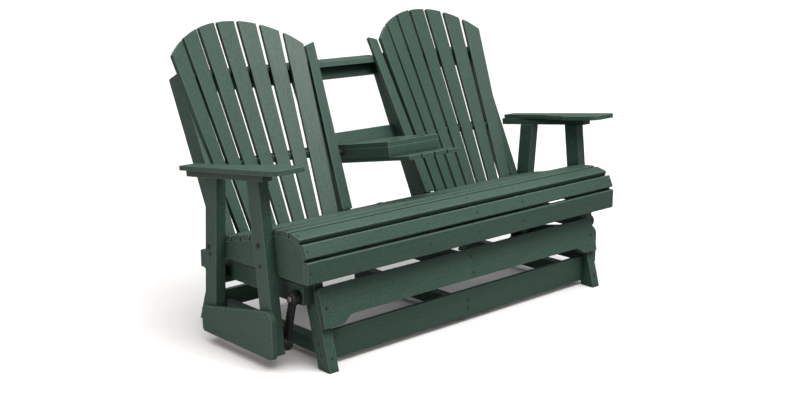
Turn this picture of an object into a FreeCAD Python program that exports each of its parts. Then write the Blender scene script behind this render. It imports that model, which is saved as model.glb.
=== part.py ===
"""Glider bench with two fan-shaped backs and a folding centre console.

The seat hangs on four swing arms inside a low base. Millimetres, +Z up, +X to the right
of someone who looks at the front, and the front faces -Y. The origin is on the ground.
"""
import FreeCAD, Part
import math
import operator
import os

import Sketcher

os.makedirs("parts", exist_ok=True)
doc = FreeCAD.newDocument("GliderBench")

# Driving dimensions: name, value in millimetres or degrees, meaning
SIZES = [
    ("heavy_stock", 38, "thickness of legs, rails, posts and uprights"),
    ("board_stock", 19, "thickness of seat boards, panels and the console's boards"),
    ("thin_stock", 16, "thickness of back slats, console strips and armrests"),
    ("rib_stock", 25, "thickness of the seat ribs and the lower back brace"),
    ("apron_stock", 22, "thickness of the base's front apron and rear board"),
    ("edge_round", 3, "radius of the eased long edges"),
    ("board_gap", 4, "gap between neighbouring seat boards"),
    ("board_width", 51, "width of a seat board"),
    ("front_board_width", 73, "width of the seat's upright front board"),
    ("seat_length", 1524, "length of the seat boards"),
    ("seat_front", -420.5, "Y of the seat's front face"),
    ("rib_bottom", 307, "height of the ribs' lower edge"),
    ("rib_rear", 117.5, "Y of the ribs' rear end"),
    ("front_board_lift", 2, "front board's lower edge above the ribs' lower edge"),
    ("nose_low_width", 48, "width of the steep nose board"),
    ("nose_low_slope", 65, "slope of the steep nose board"),
    ("nose_top_slope", 14, "slope of the shallow nose board"),
    ("crest_front_slope", 4, "fall of the crest's first board towards the back"),
    ("crest_rear_slope", 11, "fall of the crest's second board towards the back"),
    ("hollow_slope", 19, "fall of the next two boards towards the back"),
    ("seat_slope", 12.5, "fall of the three rear boards towards the back"),
    ("post_width", 63.5, "width of the arm posts, front to back"),
    ("post_bottom", 50, "height of the posts' lower ends"),
    ("front_post_foot", -297.4, "Y where the front post's front edge would meet the ground"),
    ("front_post_lean", 6.7, "front post's lean towards the back"),
    ("rear_post_foot", 56.6, "Y where the rear post's front edge would meet the ground"),
    ("rear_post_lean", 4.3, "rear post's lean towards the front"),
    ("armrest_front", -361.5, "Y of the armrest's front edge"),
    ("armrest_height", 672, "height of the armrest's top at its front edge"),
    ("armrest_slope", 6.5, "fall of the armrest towards the back"),
    ("armrest_length", 547, "length of the armrest along its slope"),
    ("armrest_overhang", 35, "armrest beyond the posts' outer faces"),
    ("armrest_front_width", 128, "width of the armrest's front paddle"),
    ("armrest_waist_width", 78, "width of the armrest behind its paddle"),
    ("armrest_rear_width", 61, "width of the armrest's rear end"),
    ("paddle_length", 165, "straight length of the armrest's paddle"),
    ("paddle_curve", 140, "length of the curve from paddle to waist"),
    ("armrest_corner", 28, "radius of the armrest's front corners"),
    ("arm_rail_depth", 25, "depth of the rail under the armrest"),
    ("arm_rail_start", 109, "rail's front end behind the armrest's front edge"),
    ("arm_rail_length", 445, "length of the rail under the armrest"),
    ("arm_rail_offset", 6, "rail's outer face beyond the posts' outer faces"),
    ("panel_front", -300.5, "Y of the glide panel's front edge"),
    ("panel_rear", 105.5, "Y of the glide panel's rear edge"),
    ("panel_bottom", 42, "height of the glide panel's lower edge"),
    ("panel_front_height", 207, "height of the glide panel's top at its front edge"),
    ("panel_rear_height", 129, "height of the glide panel's top at its rear edge"),
    ("panel_corner", 14, "radius of the glide panel's small corners"),
    ("panel_shoulder", 34, "radius of the glide panel's upper front corner"),
    ("back_y", 87.5, "Y of the fan's front surface at its foot, on its centre line"),
    ("back_z", 378, "height of that point"),
    ("back_tilt", 25.4, "lean of the back from upright"),
    ("fan_centre", 474.5, "X of the fan's centre line"),
    ("fan_radius", 900, "radius of the fan's hollow front"),
    ("fan_low_pitch", 62.7, "slat pitch at the foot of the fan"),
    ("fan_top_pitch", 87.5, "slat pitch at the top of the fan"),
    ("slat_gap", 16, "gap between neighbouring slats of a fan"),
    ("fan_height", 756, "length of the fan along its slope, on its centre line"),
    ("fan_crown", 380, "radius of the fan's top outline"),
    ("slat_drop", 4, "slats' lower ends below the fan's foot point"),
    ("strip_width", 41, "width of the parallel strip beside the console"),
    ("strip_height", 628, "strip's outer top corner, up the back's slope"),
    ("strip_rise", 12, "strip's inner top corner above its outer one"),
    ("strip_top_spread", 156, "strip's centre from the middle, at the strip's height"),
    ("strip_low_spread", 208, "strip's centre from the middle, at the fan's foot"),
    ("upright_depth", 76, "depth of the back uprights"),
    ("upright_front", -20, "uprights' front edge behind the fan's front surface"),
    ("upright_top", 905, "height of the uprights' upper front corner"),
    ("ledge_top", 893, "height of the level ledges' tops"),
    ("ledge_stock", 19, "thickness of the level ledges between the uprights"),
    ("backing_drop", 50, "depth of the backing boards under the ledges"),
    ("brace_top", 590, "height of the lower back brace's top"),
    ("console_rail_top", 627, "height of the console's lower rail"),
    ("console_rail_depth", 64, "depth of the console's lower rail"),
    ("console_bay", 187, "inner uprights' inner faces from the middle"),
    ("console_width", 254, "width of the console"),
    ("console_pivot_y", 179.5, "Y of the console's pivot"),
    ("console_pivot_z", 564, "height of the console's pivot"),
    ("console_tilt", 10, "rise of the lowered console towards its front"),
    ("console_slat_stock", 14, "thickness of the console's slats"),
    ("console_slat_width", 60, "width of the console's slats"),
    ("console_slat_reach", 371, "slats' front ends from the console's pivot"),
    ("console_reach", 266, "console box's front face from its pivot"),
    ("console_tail", 5, "console's rear end behind its pivot"),
    ("console_side_depth", 37, "depth of the console's side boards"),
    ("console_pivot_rise", 42, "console's pivot above the slats' lower faces"),
    ("cup_hole_radius", 40, "radius of the cup holes"),
    ("cup_hole_spread", 62, "cup holes' centres from the middle"),
    ("cup_hole_setback", 61, "cup holes' centres behind the console's front face"),
    ("leg_width", 58, "width of the legs, front to back"),
    ("front_foot", -426.5, "Y of the front legs' front corner on the ground"),
    ("front_leg_lean", 15.6, "front legs' lean towards the back"),
    ("rear_foot", 330.5, "Y of the rear legs' rear corner on the ground"),
    ("rear_leg_lean", 20.8, "rear legs' lean towards the front"),
    ("base_height", 282, "height of the base"),
    ("top_rail_depth", 64, "depth of the base's top rails"),
    ("top_rail_front", -361.5, "Y of the top rails' front ends"),
    ("top_rail_rear", 226.5, "Y of the top rails' rear ends"),
    ("rear_board_depth", 60, "depth of the base's rear board"),
    ("side_rail_bottom", 28, "height of the lower rails' lower edges"),
    ("side_rail_depth", 50, "depth of the lower rails"),
    ("stretcher_front", -369.5, "Y of the front stretcher's front face"),
    ("stretcher_bottom", 21, "height of the front stretcher's lower edge"),
    ("stretcher_depth", 97, "depth of the front stretcher"),
    ("rear_stretcher_front", 248.5, "Y of the rear stretcher's front face"),
    ("rear_stretcher_bottom", 47, "height of the rear stretcher's lower edge"),
    ("centre_rail_bottom", 182, "height of the upper centre rail's lower edge"),
    ("apron_top", 278, "apron's top edge, up its slope from the ground"),
    ("apron_middle", 172, "apron's straight lower edge, up its slope"),
    ("apron_end", 146, "apron's lower ends, up its slope"),
    ("apron_foot_width", 62, "width of the apron's lower ends"),
    ("apron_arch", 65, "length of the curve beside each lower end"),
    ("apron_corner", 12, "radius of the apron's top corners"),
    ("arm_gap", 37, "gap between the base's rails and the posts for the swing arms"),
    ("arm_stock", 8, "thickness of the swing arms"),
    ("arm_width", 32, "width of the swing arms"),
    ("boss_width", 18, "length of the bearing housings about the swing arms' middle"),
    ("boss_radius", 21, "outer radius of the bearing housings"),
    ("pivot_radius", 6.35, "radius of the pivot bolts"),
    ("pivot_play", 0.05, "running clearance around the pivot bolts"),
    ("side_play", 0.4, "gap beside the bearing housings along their bolts"),
    ("bolt_head_radius", 10, "radius to the corners of the pivot bolts' heads"),
    ("bolt_head_depth", 6, "depth of the pivot bolts' heads"),
    ("linkage_play", 2.3, "extra clearance around the rear arms' lower bolts"),
    ("front_top_y", -315.5, "Y of the front arms' upper pivots"),
    ("front_top_z", 240, "height of the front arms' upper pivots"),
    ("front_low_y", -272.5, "Y of the front arms' lower pivots"),
    ("front_low_z", 78, "height of the front arms' lower pivots"),
    ("rear_top_y", 95.3, "Y of the rear arms' upper pivots"),
    ("rear_top_z", 240, "height of the rear arms' upper pivots"),
    ("rear_low_y", 82.5, "Y of the rear arms' lower pivots"),
    ("rear_low_z", 73, "height of the rear arms' lower pivots"),
    ("post_bolt_radius", 4, "radius of the bolts through posts and ribs"),
    ("post_bolt_head", 8, "radius to the corners of those bolts' heads and of the console bolts' heads"),
    ("post_bolt_depth", 4, "depth of those heads"),
    ("front_post_bolt_y", -213.5, "Y of the front posts' bolts"),
    ("front_post_bolt_z", 405, "height of the front posts' bolts"),
    ("rear_post_bolt_y", 76.5, "Y of the rear posts' bolts"),
    ("rear_post_bolt_z", 342, "height of the rear posts' bolts"),
]

sheet = doc.addObject("Spreadsheet::Sheet", "Sizes")
for row, (alias, value, meaning) in enumerate(SIZES, start=1):
    sheet.set("A%d" % row, meaning)
    sheet.set("B%d" % row, str(value))
    sheet.setAlias("B%d" % row, alias)
doc.recompute()


class Size:
    """A length, ratio or angle that knows its value and its formula in the sheet."""

    def __init__(self, value, formula):
        self.value = float(value)
        self.formula = formula

    def __add__(self, other):
        return joined(self, "+", other)

    def __radd__(self, other):
        return joined(other, "+", self)

    def __sub__(self, other):
        return joined(self, "-", other)

    def __rsub__(self, other):
        return joined(other, "-", self)

    def __mul__(self, other):
        return joined(self, "*", other)

    def __rmul__(self, other):
        return joined(other, "*", self)

    def __truediv__(self, other):
        return joined(self, "/", other)

    def __rtruediv__(self, other):
        return joined(other, "/", self)

    def __neg__(self):
        return joined(-1, "*", self)


STEPS = {"+": operator.add, "-": operator.sub, "*": operator.mul, "/": operator.truediv}


def as_size(number):
    if isinstance(number, Size):
        return number
    return Size(number, "(%r)" % float(number))


def joined(left, sign, right):
    left, right = as_size(left), as_size(right)
    value = STEPS[sign](left.value, right.value)
    return Size(value, "(%s %s %s)" % (left.formula, sign, right.formula))


def size(alias):
    return Size(getattr(sheet, alias), "Sizes.%s" % alias)


def sine(angle):
    return Size(math.sin(math.radians(angle.value)), "sin(%s)" % angle.formula)


def cosine(angle):
    return Size(math.cos(math.radians(angle.value)), "cos(%s)" % angle.formula)


def tangent(angle):
    return Size(math.tan(math.radians(angle.value)), "tan(%s)" % angle.formula)


def root(number):
    return Size(math.sqrt(number.value), "sqrt(%s)" % number.formula)


# Sizes that many pieces share
HEAVY = size("heavy_stock")
BOARD = size("board_stock")
THIN = size("thin_stock")
RIB = size("rib_stock")
APRON = size("apron_stock")
GAP = size("board_gap")
SEAT_HALF = size("seat_length") / 2
POST_OUTER = SEAT_HALF + HEAVY
RAIL_OUTER = SEAT_HALF - size("arm_gap")
LEG_OUTER = RAIL_OUTER - HEAVY
LEG_INNER = LEG_OUTER - HEAVY
SIDES = (("left", -1), ("right", 1))

nodes = []


def origin_plane(body, role):
    return next(plane for plane in body.Origin.OriginFeatures if plane.Role == role)


def new_sketch(body, role, name):
    sketch = body.newObject("Sketcher::SketchObject", name)
    sketch.AttachmentSupport = (origin_plane(body, role), [""])
    sketch.MapMode = "FlatFace"
    return sketch


def pin_point(sketch, name, geometry, end, point):
    """Hold one point of the sketch at a place that the sheet gives."""
    for axis, coordinate in zip("XY", point):
        coordinate = as_size(coordinate)
        constraint = Sketcher.Constraint("Distance" + axis, -1, 1, geometry, end, coordinate.value)
        index = sketch.addConstraint(constraint)
        sketch.renameConstraint(index, name + axis)
        sketch.setExpression("Constraints.%s%s" % (name, axis), coordinate.formula)


def arc_between(start, finish, radius, side):
    """Shallow arc; its centre lies left of the way along for side 1 and right for -1."""
    chord = finish - start
    left = FreeCAD.Vector(-chord.y, chord.x, 0).normalize()
    height = math.sqrt(radius ** 2 - (chord.Length / 2) ** 2)
    centre = (start + finish) / 2 + left * (side * height)
    ends = (start, finish) if side > 0 else (finish, start)
    angles = [math.atan2(end.y - centre.y, end.x - centre.x) for end in ends]
    circle = Part.Circle(centre, FreeCAD.Vector(0, 0, 1), radius)
    return Part.ArcOfCircle(circle, angles[0], angles[1])


def outline(body, role, corners, arcs=None):
    """Closed sketch through the corners; arcs maps a corner to (radius, side) of its arc."""
    arcs = arcs or {}
    sketch = new_sketch(body, role, "Outline")
    spots = [FreeCAD.Vector(as_size(across).value, as_size(up).value, 0) for across, up in corners]
    ends = []
    for index, start in enumerate(spots):
        finish = spots[(index + 1) % len(spots)]
        if index in arcs:
            radius, side = arcs[index]
            sketch.addGeometry(arc_between(start, finish, radius.value, side), False)
            ends.append((1, 2) if side > 0 else (2, 1))
        else:
            sketch.addGeometry(Part.LineSegment(start, finish), False)
            ends.append((1, 2))
    for index, (start_end, finish_end) in enumerate(ends):
        following = (index + 1) % len(ends)
        join = Sketcher.Constraint("Coincident", index, finish_end, following, ends[following][0])
        sketch.addConstraint(join)
    for index, corner in enumerate(corners):
        pin_point(sketch, "corner%d" % index, index, ends[index][0], corner)
    for index, (radius, side) in arcs.items():
        number = sketch.addConstraint(Sketcher.Constraint("Radius", index, radius.value))
        sketch.renameConstraint(number, "arc%d" % index)
        sketch.setExpression("Constraints.arc%d" % index, radius.formula)
    return sketch


def place(piece, x=0, y=0, z=0, turn=0):
    """Move a piece and turn it about its own X axis, bound to the sheet."""
    x, y, z, turn = [as_size(number) for number in (x, y, z, turn)]
    base = FreeCAD.Vector(x.value, y.value, z.value)
    direction = -1 if turn.value < 0 else 1
    axis = FreeCAD.Vector(direction, 0, 0)
    piece.Placement = FreeCAD.Placement(base, FreeCAD.Rotation(axis, abs(turn.value)))
    for letter, number in zip("xyz", (x, y, z)):
        piece.setExpression("Placement.Base.%s" % letter, number.formula)
    if turn.value:
        piece.setExpression("Placement.Rotation.Angle", (turn * direction).formula)


def plank(label, role, corners, thickness, arcs=None):
    """Board: an outline on one of its body's planes, padded by its thickness."""
    body = doc.addObject("PartDesign::Body", label)
    body.Label = label
    sketch = outline(body, role, corners, arcs)
    pad = body.newObject("PartDesign::Pad", "Board")
    pad.Profile = sketch
    pad.setExpression("Length", as_size(thickness).formula)
    pad.Length = as_size(thickness).value
    doc.recompute()
    return body


def drill(body, role, centre, radius):
    """Round hole right through a plank, square to its outline."""
    before = body.Shape.Volume
    sketch = new_sketch(body, role, "HoleCircle")
    across, up = [as_size(number) for number in centre]
    middle = FreeCAD.Vector(across.value, up.value, 0)
    sketch.addGeometry(Part.Circle(middle, FreeCAD.Vector(0, 0, 1), radius.value), False)
    pin_point(sketch, "centre", 0, 3, centre)
    number = sketch.addConstraint(Sketcher.Constraint("Radius", 0, radius.value))
    sketch.renameConstraint(number, "hole_radius")
    sketch.setExpression("Constraints.hole_radius", radius.formula)
    pocket = body.newObject("PartDesign::Pocket", "Hole")
    pocket.Profile = sketch
    pocket.Type = "ThroughAll"
    pocket.Reversed = True
    doc.recompute()
    if body.Shape.Volume >= before:
        raise ValueError("a hole missed " + body.Label)


def work_edges(body, wanted, kind, measure, amount, name):
    """Fillet or chamfer the edges of the body's last feature that the wanted test picks."""
    feature = body.Tip
    names = ["Edge%d" % (number + 1) for number, edge in enumerate(feature.Shape.Edges) if wanted(edge)]
    worked = body.newObject("PartDesign::" + kind, name)
    worked.Base = (feature, names)
    worked.setExpression(measure, amount.formula)
    setattr(worked, measure, amount.value)
    doc.recompute()


def round_corner(body, wanted, radius, name):
    work_edges(body, wanted, "Fillet", "Radius", radius, name)


def ease(body, wanted, width):
    """Take the sharpness off a board's long edges."""
    work_edges(body, wanted, "Chamfer", "Size", width, "EasedEdges")


def along(axis):
    """Test for straight edges that run along one of a body's own axes."""
    direction = FreeCAD.Vector(*[letter == axis for letter in "xyz"])

    def wanted(edge):
        if not isinstance(edge.Curve, Part.Line):
            return False
        return abs(abs(edge.Curve.Direction * direction) - 1) < 1e-6
    return wanted


def corner_at(axis, spot):
    """Test for the edge along an axis that passes the spot in the outline's plane."""
    flat = {"x": ("y", "z"), "y": ("x", "z"), "z": ("x", "y")}[axis]
    spot = [as_size(number).value for number in spot]

    def wanted(edge):
        if not along(axis)(edge):
            return False
        middle = edge.CenterOfMass
        distance = [abs(getattr(middle, letter) - number) for letter, number in zip(flat, spot)]
        return max(distance) < 0.01
    return wanted


def node(piece, label=None):
    """Keep a finished piece as one of the object's named sub-parts."""
    if label:
        piece.Label = label
    nodes.append(piece)
    return piece


def group(label, members):
    """Several like pieces as separate solids of one sub-part."""
    compound = doc.addObject("Part::Compound", label)
    compound.Links = members
    doc.recompute()
    return node(compound, label)


def cylinder(label, x, y, z, radius, length):
    """Round bar along X that starts at the given place."""
    bar = doc.addObject("Part::Cylinder", label)
    bar.Label = label
    bar.setExpression("Radius", as_size(radius).formula)
    bar.setExpression("Height", as_size(length).formula)
    bar.Placement.Rotation = FreeCAD.Rotation(FreeCAD.Vector(0, 1, 0), 90)
    for letter, number in zip("xyz", (x, y, z)):
        bar.setExpression("Placement.Base.%s" % letter, as_size(number).formula)
    return bar


def hexagon(label, x, y, z, radius, length):
    """Six-sided bar along X that starts at the given place; the radius is to its corners."""
    bar = doc.addObject("Part::Prism", label)
    bar.Label = label
    bar.Polygon = 6
    bar.setExpression("Circumradius", as_size(radius).formula)
    bar.setExpression("Height", as_size(length).formula)
    bar.Placement.Rotation = FreeCAD.Rotation(FreeCAD.Vector(0, 1, 0), 90)
    for letter, number in zip("xyz", (x, y, z)):
        bar.setExpression("Placement.Base.%s" % letter, as_size(number).formula)
    return bar


def fused(label, shapes):
    """Pieces joined into one solid."""
    joint = doc.addObject("Part::MultiFuse", label)
    joint.Shapes = shapes
    joint.Refine = True
    joint.Label = label
    doc.recompute()
    return joint


def cut(label, base, tool):
    """Base with the tool's space taken out."""
    result = doc.addObject("Part::Cut", label)
    result.Base = base
    result.Tool = tool
    result.Label = label
    doc.recompute()
    return result


def start_x(side, near, thickness):
    """X where a plank's pad starts when its inner face is near and it is on that side."""
    return near if side > 0 else -(near + thickness)


# Base: leaning legs
BASE_TOP = size("base_height")
LEG_WIDTH = size("leg_width")
FRONT_FOOT = size("front_foot")
REAR_FOOT = size("rear_foot")
front_lean = tangent(size("front_leg_lean"))
rear_lean = tangent(size("rear_leg_lean"))
rail_rear = size("top_rail_rear")
rear_board_bottom = BASE_TOP - size("rear_board_depth")
bolt_hole = size("pivot_radius") + size("pivot_play")
front_top_pivot = (size("front_top_y"), size("front_top_z"))
rear_top_pivot = (size("rear_top_y"), size("rear_top_z"))
front_low_pivot = (size("front_low_y"), size("front_low_z"))
rear_low_pivot = (size("rear_low_y"), size("rear_low_z"))

front_leg_corners = [
    (FRONT_FOOT, 0),
    (FRONT_FOOT + LEG_WIDTH, 0),
    (FRONT_FOOT + LEG_WIDTH + front_lean * BASE_TOP, BASE_TOP),
    (FRONT_FOOT + front_lean * BASE_TOP, BASE_TOP),
]
rear_leg_corners = [
    (REAR_FOOT - LEG_WIDTH, 0),
    (REAR_FOOT, 0),
    (REAR_FOOT - rear_lean * rear_board_bottom, rear_board_bottom),
    (rail_rear, rear_board_bottom),
    (rail_rear, BASE_TOP),
    (REAR_FOOT - LEG_WIDTH - rear_lean * BASE_TOP, BASE_TOP),
]
for name, side in SIDES:
    for end, corners in (("front", front_leg_corners), ("rear", rear_leg_corners)):
        leg = plank("leg_%s_%s" % (end, name), "YZ_Plane", corners, HEAVY)
        if end == "front":
            drill(leg, "YZ_Plane", front_top_pivot, bolt_hole)
        place(leg, x=start_x(side, LEG_INNER, HEAVY))
        node(leg)

# Base: top rails outside the legs, lower rails inside them
rail_front = size("top_rail_front")
rail_bottom = BASE_TOP - size("top_rail_depth")
side_bottom = size("side_rail_bottom")
side_top = side_bottom + size("side_rail_depth")
stretcher_back = size("stretcher_front") + BOARD
rear_stretcher_front = size("rear_stretcher_front")


def bar_corners(front, rear, bottom, top):
    return [(front, bottom), (rear, bottom), (rear, top), (front, top)]


for name, side in SIDES:
    corners = bar_corners(rail_front, rail_rear, rail_bottom, BASE_TOP)
    top_rail = plank("top_rail_" + name, "YZ_Plane", corners, HEAVY)
    drill(top_rail, "YZ_Plane", front_top_pivot, bolt_hole)
    drill(top_rail, "YZ_Plane", rear_top_pivot, bolt_hole)
    place(top_rail, x=start_x(side, LEG_OUTER, HEAVY))
    node(top_rail)
    corners = bar_corners(stretcher_back, rear_stretcher_front, side_bottom, side_top)
    side_rail = plank("side_rail_" + name, "YZ_Plane", corners, HEAVY)
    place(side_rail, x=start_x(side, LEG_INNER - HEAVY, HEAVY))
    node(side_rail)

# Base: centre rails, the upper one cut to the apron's slope
centre_bottom = size("centre_rail_bottom")
centre_top = centre_bottom + size("top_rail_depth")
corners = bar_corners(stretcher_back, rear_stretcher_front, side_bottom, side_top)
centre_rail_lower = node(plank("centre_rail_lower", "YZ_Plane", corners, HEAVY))
place(centre_rail_lower, x=-HEAVY / 2)
corners = [
    (FRONT_FOOT + front_lean * centre_bottom, centre_bottom),
    (rail_rear, centre_bottom),
    (rail_rear, centre_top),
    (FRONT_FOOT + front_lean * centre_top, centre_top),
]
centre_rail_upper = node(plank("centre_rail_upper", "YZ_Plane", corners, HEAVY))
place(centre_rail_upper, x=-HEAVY / 2)

# Base: front apron on the legs' leaning faces, its lower edge arched up in the middle
apron_top = size("apron_top")
apron_middle = size("apron_middle")
apron_end = size("apron_end")
arch_outer = LEG_OUTER - size("apron_foot_width")
arch_inner = arch_outer - size("apron_arch")
arch_half_x = (arch_outer + arch_inner) / 2
arch_half_z = (apron_middle + apron_end) / 2
arch_rise = apron_middle - apron_end
arch_radius = (size("apron_arch") * size("apron_arch") + arch_rise * arch_rise) / (arch_rise * 4)
corners = [
    (-LEG_OUTER, apron_end),
    (-arch_outer, apron_end),
    (-arch_half_x, arch_half_z),
    (-arch_inner, apron_middle),
    (arch_inner, apron_middle),
    (arch_half_x, arch_half_z),
    (arch_outer, apron_end),
    (LEG_OUTER, apron_end),
    (LEG_OUTER, apron_top),
    (-LEG_OUTER, apron_top),
]
arch_arcs = {1: (arch_radius, 1), 2: (arch_radius, -1), 4: (arch_radius, -1), 5: (arch_radius, 1)}
front_apron = node(plank("front_apron", "XZ_Plane", corners, APRON, arch_arcs))
for side in (-1, 1):
    corner = corner_at("y", (LEG_OUTER * side, apron_top))
    round_corner(front_apron, corner, size("apron_corner"), "TopCorner")
place(front_apron, y=FRONT_FOOT, turn=-size("front_leg_lean"))


# Base: front and rear stretchers between the legs, rear board on the rail ends
def cross_board(label, half_length, front, thickness, bottom, depth):
    """Board that runs across the object on edge."""
    corners = bar_corners(front, front + thickness, bottom, bottom + depth)
    board = node(plank(label, "YZ_Plane", corners, half_length * 2))
    place(board, x=-half_length)
    return board


cross_board("front_stretcher", LEG_INNER, size("stretcher_front"), BOARD,
            size("stretcher_bottom"), size("stretcher_depth"))
cross_board("rear_stretcher", LEG_INNER, rear_stretcher_front, BOARD,
            size("rear_stretcher_bottom"), size("top_rail_depth"))
cross_board("rear_board", RAIL_OUTER, rail_rear, APRON, rear_board_bottom, size("rear_board_depth"))

# Swing arms: a strap with a bearing housing at each end, centred in the arm gap
arm_middle = RAIL_OUTER + size("arm_gap") / 2
boss_near = arm_middle - size("boss_width") / 2
boss_far = arm_middle + size("boss_width") / 2
strap_start = arm_middle - size("arm_stock") / 2
loose_hole = bolt_hole + size("linkage_play")


def swing_arm(label, side, top, low, low_hole):
    """Strap with a bored housing at each pivot; each housing reaches out to the part that carries its bolt."""
    across = low[0] - top[0]
    down = top[1] - low[1]
    length = root(across * across + down * down)
    half_width = size("arm_width") / 2
    strap_corners = [(-half_width, -length), (half_width, -length), (half_width, 0), (-half_width, 0)]
    strap = plank(label + "_strap", "YZ_Plane", strap_corners, size("arm_stock"))
    lean = Size(math.degrees(math.atan2(across.value, down.value)),
                "atan2(%s; %s)" % (across.formula, down.formula))
    place(strap, x=start_x(side, strap_start, size("arm_stock")), y=top[0], z=top[1], turn=lean)
    housings = []
    bores = []
    for spot, near, far, hole in ((top, RAIL_OUTER + size("side_play"), boss_far, bolt_hole),
                                  (low, boss_near, SEAT_HALF - size("side_play"), low_hole)):
        x = start_x(side, near, far - near)
        housings.append(cylinder(label + "_housing", x, spot[0], spot[1], size("boss_radius"), far - near))
        bores.append(cylinder(label + "_bore", x, spot[0], spot[1], hole, far - near))
    blank = fused(label + "_blank", [strap] + housings)
    return cut(label, blank, fused(label + "_bores", bores))


for end, top, low, low_hole in (("front", front_top_pivot, front_low_pivot, bolt_hole),
                                ("rear", rear_top_pivot, rear_low_pivot, loose_hole)):
    arms = [swing_arm("swing_arm_%s_%s" % (end, name), side, top, low, low_hole) for name, side in SIDES]
    group("swing_arms_" + end, arms)


# Pivot bolts: a round shank with a six-sided head and nut
def bolt(label, side, spot, shank, heads):
    """Bolt along X; its spans are given from the middle of the object outwards."""
    pieces = []
    for shape, (near, far, radius) in [(cylinder, shank)] + [(hexagon, span) for span in heads]:
        start = near if side > 0 else -far
        pieces.append(shape(label + "_length", start, spot[0], spot[1], radius, far - near))
    return fused(label, pieces)


head = size("bolt_head_radius")
head_depth = size("bolt_head_depth")
shank_radius = size("pivot_radius")
washer_far = boss_far + size("side_play")
washer_near = boss_near - size("side_play")
bolts = []
for name, side in SIDES:
    for end, spot, inner in (("front", front_top_pivot, LEG_INNER), ("rear", rear_top_pivot, LEG_OUTER)):
        heads = [(washer_far, washer_far + head_depth, head), (inner - head_depth, inner, head)]
        shank = (inner, washer_far, shank_radius)
        bolts.append(bolt("rail_bolt_%s_%s" % (end, name), side, spot, shank, heads))
group("rail_pivot_bolts", bolts)
bolts = []
for name, side in SIDES:
    for end, spot in (("front", front_low_pivot), ("rear", rear_low_pivot)):
        shank = (washer_near, POST_OUTER, shank_radius)
        heads = [(washer_near - head_depth, washer_near, head)]
        bolts.append(bolt("seat_bolt_%s_%s" % (end, name), side, spot, shank, heads))
group("seat_pivot_bolts", bolts)

# Seat: the ribs' top is a path of flats, one for each board or row of boards
BOARD_WIDTH = size("board_width")
NOSE_LOW_WIDTH = size("nose_low_width")
# slope, rising or falling, boards on the flat, their width
SEAT_FLATS = [
    ("nose_low_slope", 1, 1, NOSE_LOW_WIDTH),
    ("nose_top_slope", 1, 1, BOARD_WIDTH),
    ("crest_front_slope", -1, 1, BOARD_WIDTH),
    ("crest_rear_slope", -1, 1, BOARD_WIDTH),
    ("hollow_slope", -1, 2, BOARD_WIDTH),
    ("seat_slope", -1, 3, BOARD_WIDTH),
]
rib_front = size("seat_front") + BOARD
rib_bottom = size("rib_bottom")
rib_rear = size("rib_rear")
nose_foot = rib_bottom + size("front_board_lift") + size("front_board_width") + GAP / 2
rib_path = [(rib_front, nose_foot)]
for slope, sign, number, width in SEAT_FLATS:
    last_y, last_z = rib_path[-1]
    run = (width + GAP) * number
    rib_path.append((last_y + run * cosine(size(slope)), last_z + run * sine(size(slope)) * sign))
rib_end_height = rib_path[-1][1]
rib_corners = [(rib_front, rib_bottom)] + rib_path
rib_corners += [(rib_rear, rib_end_height), (rib_rear, rib_bottom)]

POST_BOLTS = {
    "front": (size("front_post_bolt_y"), size("front_post_bolt_z")),
    "rear": (size("rear_post_bolt_y"), size("rear_post_bolt_z")),
}
post_bolt_hole = size("post_bolt_radius") + size("pivot_play")


def drill_post_bolts(piece, ends):
    for end in ends:
        drill(piece, "YZ_Plane", POST_BOLTS[end], post_bolt_hole)


INNER_UPRIGHT = size("console_bay")
inner_ribs = []
for name, side in SIDES:
    rib = plank("rib_outer_" + name, "YZ_Plane", rib_corners, RIB)
    drill_post_bolts(rib, ("front", "rear"))
    place(rib, x=start_x(side, SEAT_HALF - RIB, RIB))
    node(rib)
    rib = plank("rib_inner_" + name, "YZ_Plane", rib_corners, RIB)
    place(rib, x=start_x(side, INNER_UPRIGHT + HEAVY, RIB))
    inner_ribs.append(rib)
rib = plank("rib_centre", "YZ_Plane", rib_corners, RIB)
place(rib, x=-RIB / 2)
group("ribs_inner", inner_ribs + [rib])


# Seat: boards that lie on the flats, each placed from the flat's lower or front end
def seat_board(label, start, slope, sign, offset, width):
    """Board across the seat with eased long edges, offset along its flat."""
    corners = [(0, 0), (width, 0), (width, BOARD), (0, BOARD)]
    board = plank(label, "YZ_Plane", corners, SEAT_HALF * 2)
    ease(board, along("x"), size("edge_round"))
    y = start[0] + cosine(slope) * offset
    z = start[1] + sine(slope) * offset * sign
    place(board, x=-SEAT_HALF, y=y, z=z, turn=slope * sign)
    return board


corners = bar_corners(size("seat_front"), rib_front, rib_bottom + size("front_board_lift"),
                      nose_foot - GAP / 2)
front_board = node(plank("seat_board_front", "YZ_Plane", corners, SEAT_HALF * 2))
ease(front_board, along("x"), size("edge_round"))
place(front_board, x=-SEAT_HALF)
seat_boards = []
for start, (slope, sign, number, width) in zip(rib_path, SEAT_FLATS):
    for count in range(number):
        label = "seat_board_%d" % (len(seat_boards) + 1)
        offset = GAP / 2 + (width + GAP) * count
        seat_boards.append(seat_board(label, start, size(slope), sign, offset, width))
node(seat_boards[0], "seat_board_nose_low")
node(seat_boards[1], "seat_board_nose_top")
group("seat_boards", seat_boards[2:])

# Seat sides: leaning posts, cut to the armrest's slope, and the rail on top of them
arm_fall = tangent(size("armrest_slope"))
rail_gap = (THIN + size("arm_rail_depth")) / cosine(size("armrest_slope"))
POST_BOTTOM = size("post_bottom")


def post_top(foot, lean):
    """Point where a leaning edge from the ground meets the arm rail's underside."""
    height = size("armrest_height") - rail_gap - arm_fall * (foot - size("armrest_front"))
    z = height / (1 + arm_fall * lean)
    return (foot + lean * z, z)


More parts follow.
